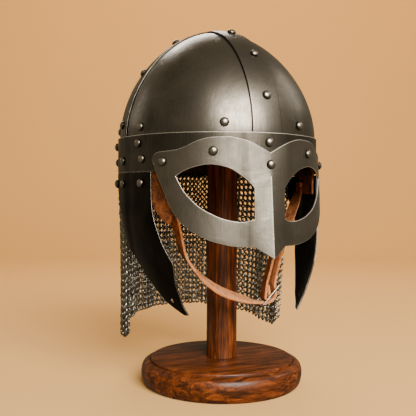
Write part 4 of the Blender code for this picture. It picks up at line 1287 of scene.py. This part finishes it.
def mail_rows():
    step = 0.002
    pieces = 200
    halfway = [mail_point(-1 + 2 * k / pieces, 0.5) for k in range(pieces + 1)]
    column_count = round(sum((b - a).length for a, b in zip(halfway, halfway[1:])) / COLUMN_PITCH)
    drop = MAIL_HEM * MIDDLE_HEM - MAIL_TOP
    row_count = round(drop / RING_PITCH)
    edge = RING_OUTSIDE / 2
    top_share = edge / drop * TOP_RING_DROP
    rows = []
    for column in range(column_count + 1):
        across = 2 * column / column_count - 1
        for row in range(row_count):
            share = (row + (0.5 if column % 2 else 0.0)) / (row_count - 0.5)
            run = top_share + (1 - top_share - edge / drop) * share
            point = mail_point(across, run)
            beside = mail_point(min(across + step, 1), run) - mail_point(max(across - step, -1), run)
            down = mail_point(across, min(run + step, 1)) - mail_point(across, max(run - step, 0))
            outward = beside.cross(down).normalized()
            if outward.dot(Vector((point.x, point.y, 0))) < 0:
                outward = -outward
            rows.append({"point": HELMET_PLACE + point, "outward": outward, "down": down.normalized(),
                         "lean": 1.0 if column % 2 else -1.0})
    print("columns:", column_count + 1, "rings in each:", row_count, "rings:", len(rows))
    return rows


def mail_tree(sizes):
    tree, given = new_tree("mail_rings", sizes)

    def jitter(most, turn=0):
        return random_vector(tree, given, [-value for value in most], [*most[:2], most[2] + turn])

    middle = reckon(tree, "MULTIPLY", reckon(tree, "SUBTRACT", given["Ring Outside"], given["Wire"]), 0.5)
    wire_half = reckon(tree, "MULTIPLY", given["Wire"], 0.5)
    loop = node(tree, "GeometryNodeCurvePrimitiveCircle", {"Resolution": RING_SIDES, "Radius": middle})
    section = node(tree, "GeometryNodeCurvePrimitiveCircle", {"Resolution": WIRE_SIDES, "Radius": wire_half})
    ring = node(tree, "GeometryNodeCurveToMesh", {"Curve": loop.outputs[0], "Profile Curve": section.outputs[0]})
    face = node(tree, "FunctionNodeAxesToRotation", {
        "Primary Axis": point_value(tree, "outward", "FLOAT_VECTOR"),
        "Secondary Axis": point_value(tree, "down", "FLOAT_VECTOR"),
    }, primary_axis="Z", secondary_axis="X")
    angle = reckon(tree, "MULTIPLY", point_value(tree, "lean", "FLOAT"), given["Lean"])
    lean = node(tree, "ShaderNodeCombineXYZ", {"X": angle, "Y": given["Tilt"]})
    leaned = turned_by(tree, face.outputs[0], lean.outputs[0])
    nudged = node(tree, "GeometryNodeSetPosition", {"Geometry": given["Guide"], "Offset": jitter(RING_PLACE_JITTER)})
    return stand_copies(
        tree, given, Points=nudged.outputs[0], Instance=ring.outputs[0],
        Rotation=turned_by(tree, leaned, jitter(RING_TURN_JITTER, ANY_TURN)),
    )


mail_sizes = {
    "Ring Outside": RING_OUTSIDE, "Wire": RING_WIRE, "Lean": RING_LEAN, "Tilt": RING_TILT, "Seed": 11,
    "Material": ring_wire,
}
mail = guide_mesh("mail_ring_curtain", mail_rows(), ["outward", "down"], ["lean"])
run_tree(mail, mail_tree(mail_sizes), mail_sizes)
keep(mail, "mail_steel", "mail_curtain")

# %% [markdown]
# The stand is lathe work: a profile spun round the axis. The base has a rounded rim, a narrow cut
# groove and a flat disc, and the post's top is shaped to the inside of the bowl that rests on it.

# %% Stand
BASE_RADIUS = 0.0864
BASE_HEIGHT = 0.0274
DISC_RADIUS = 0.0767
POST_RADIUS = 0.0163
POST_SIDES = 64
POST_TOP_SHARES = (0.35, 0.70, 0.90, 0.98)
POST_TOP_BEND = 0.0012
POST_RING_START = 0.02
POST_RING_STEP = 0.0275
LATHE_STEPS = 160
CORNER_TURN = radians(50)
BASE_ROWS = (
    # inward, height
    (0.50, 0.00),
    (0.18, 0.12),
    (0.00, 0.38),
    (0.00, 0.60),
    (0.22, 0.80),
    (0.75, 0.91),
)
BASE_FINE_STEPS = 5
DISC_ROWS = ((0.86, 0.915), (0.95, 0.895), (1.00, 0.875), (1.02, 0.90), (1.02, 0.95), (1.06, 0.985), (1.14, 1.00))


def turned_piece(name, profile, material):
    mesh = bmesh.new()
    points = [mesh.verts.new((radius, 0, height)) for radius, height in profile]
    edges = [mesh.edges.new(pair) for pair in zip(points, points[1:])]
    bmesh.ops.spin(
        mesh, geom=points + edges, cent=(0, 0, 0), axis=(0, 0, 1), angle=2 * pi, steps=LATHE_STEPS, use_merge=True,
    )
    bmesh.ops.remove_doubles(mesh, verts=mesh.verts, dist=0.00001)
    bmesh.ops.recalc_face_normals(mesh, faces=mesh.faces)
    return new_piece(name, mesh, material)


def base_profile():
    """The base's outline from the axis underneath to the axis on top, as (radius, height)."""
    rows = [(k, *row) for k, row in enumerate(BASE_ROWS)]
    places = [k / BASE_FINE_STEPS for k in range(BASE_FINE_STEPS * (len(rows) - 1) + 1)]
    fine = [(smooth_value(rows, at, 1), smooth_value(rows, at, 2)) for at in places]
    rim = [(BASE_RADIUS - (BASE_RADIUS - DISC_RADIUS) * inward, BASE_HEIGHT * height)
           for inward, height in fine + list(DISC_ROWS)]
    return [(0, 0)] + rim + [(0.5 * DISC_RADIUS, BASE_HEIGHT), (0, BASE_HEIGHT)]


base = turned_piece("turned_base", base_profile(), base_wood)
base.data.set_sharp_from_angle(angle=CORNER_TURN)
keep(base, "stained_wood", "stand_base")


def build_post():
    mesh = bmesh.new()
    seat = -STEEL - CLEAR - FACET_ROOM
    angles = [2 * pi * step / POST_SIDES for step in range(POST_SIDES)]

    def top_height(x, y):
        hx, hy = x - HELMET_PLACE.x, y - HELMET_PLACE.y
        reach = hypot(hx / half_width(hy, seat), hy / (HALF_LENGTH + seat))
        return HELMET_PLACE.z + (BOWL_HEIGHT + seat) * (1 - reach ** BOWL_POWER) ** (1 / BOWL_POWER)

    def ring(radius, height=None):
        """A ring of points at a height, or on the inside of the bowl if none is given."""
        places = [(radius * cos(a), radius * sin(a)) for a in angles]
        return [mesh.verts.new((x, y, top_height(x, y) if height is None else height)) for x, y in places]

    top = top_height(POST_RADIUS, 0)
    rings = [ring(POST_RADIUS * share) for share in POST_TOP_SHARES]
    for drop in [POST_TOP_BEND] + [POST_RING_START + POST_RING_STEP * k for k in range(12)]:
        if top - drop > BASE_HEIGHT + POST_RING_START:
            rings.append(ring(POST_RADIUS, top - drop))
    rings.append(ring(POST_RADIUS, BASE_HEIGHT + CLEAR))
    bridge(mesh, rings)
    mesh.faces.new(rings[0])
    mesh.faces.new(rings[-1])
    bmesh.ops.recalc_face_normals(mesh, faces=mesh.faces)
    post = new_piece("turned_post", mesh, post_wood)
    post.data.set_sharp_from_angle(angle=CORNER_TURN)
    return keep(post, "stained_wood", "stand_post")


build_post()

# %% [markdown]
# The stage is a plain pale floor that bends up into a backdrop. Dark polished metal shows mostly
# what it reflects, so the lights are large soft boxes placed where the plates mirror them: a wide
# one high in front, a low one under it, a strip high behind, a small one behind the right side and
# two weak ones to the left. The floor doesn't show in gloss, so the steel stays a neutral grey.

# %% Stage and lights
SWEEP_WIDTH = 9.0
SWEEP_FRONT = -3.0
SWEEP_FOOT = 1.3
SWEEP_BEND = 1.0
SWEEP_BEND_STEPS = 24
SWEEP_TOP = 4.0
AIM = Vector((0, 0, 0.25))
SOFT_BOX_COLOUR = "fff4e6"
SOFT_BOXES = (
    # name,          turn, height, distance, width, depth, brightness
    ("key_box", -3, 29, 1.8, 1.22, 1.00, 22),
    ("low_front_box", -10, 9, 1.5, 0.55, 0.26, 3.2),
    ("rear_top_box", 166, 39, 1.2, 0.55, 0.20, 14),
    ("rear_right_box", -144, 22, 1.3, 0.20, 0.40, 1.4),
    ("left_side_box", 92, 33, 1.5, 0.65, 0.60, 1.6),
    ("left_top_box", 45, 42, 1.6, 0.90, 0.50, 0.9),
)
WASH_SIZE = (3.0, 0.4)
WASH_POWER = 30
WASH_COLOUR = "ffd69c"
WASH_BACK, WASH_HEIGHT = 0.9, 1.7
WASH_AIM_BACK, WASH_AIM_HEIGHT = 2.3, 0.7
AIR_COLOUR = "ccb999"
AIR_STRENGTH = 0.34
away = Vector((forward.x, forward.y, 0)).normalized()


def build_sweep(finish):
    """One sheet that runs back along the floor and bends up into a backdrop behind the helmet."""
    aside = Vector((away.y, -away.x, 0))
    angles = [pi / 2 * k / SWEEP_BEND_STEPS for k in range(SWEEP_BEND_STEPS + 1)]
    bend = [(SWEEP_FOOT + SWEEP_BEND * sin(a), SWEEP_BEND * (1 - cos(a))) for a in angles]
    profile = [(SWEEP_FRONT, 0)] + bend + [(bend[-1][0], SWEEP_TOP)]
    mesh = bmesh.new()
    bridge(mesh, [
        [mesh.verts.new(away * back + aside * SWEEP_WIDTH * end + Vector((0, 0, height))) for end in (-0.5, 0.5)]
        for back, height in profile
    ], ring=False)
    turn_outward(mesh, Vector((0, 0, -100)))
    sweep = new_piece("floor_sweep", mesh, finish)
    sweep.visible_glossy = False


floor_finish, floor_tree, floor_shader, _ = new_finish("pale_floor")
set_inputs(floor_tree, floor_shader, {
    "Base Color": linear("e6b873"), "Roughness": 0.8, "Specular IOR Level": 0.15,
})
build_sweep(floor_finish)


def area_lamp(name, place, aim, size, power, colour):
    light = bpy.data.lights.new(name, "AREA")
    light.shape = "RECTANGLE"
    light.size, light.size_y = size
    light.energy = power
    light.color = linear(colour)[:3]
    lamp = bpy.data.objects.new(name, light)
    lamp.location = place
    lamp.rotation_euler = (aim - place).to_track_quat("-Z", "Y").to_euler()
    scene.collection.objects.link(lamp)


for name, turn, height, distance, width, depth, brightness in SOFT_BOXES:
    turn, height = radians(turn), radians(height)
    place = AIM + distance * Vector((sin(turn) * cos(height), -cos(turn) * cos(height), sin(height)))
    area_lamp(name, place, AIM, (width, depth), brightness * pi * width * depth, SOFT_BOX_COLOUR)

area_lamp(
    "backdrop_wash", away * WASH_BACK + Vector((0, 0, WASH_HEIGHT)),
    away * WASH_AIM_BACK + Vector((0, 0, WASH_AIM_HEIGHT)), WASH_SIZE, WASH_POWER, WASH_COLOUR,
)

world = bpy.data.worlds.new("studio_air")
scene.world = world
world.use_nodes = True
air = world.node_tree.nodes["Background"]
set_inputs(world.node_tree, air, {"Color": linear(AIR_COLOUR), "Strength": AIR_STRENGTH})
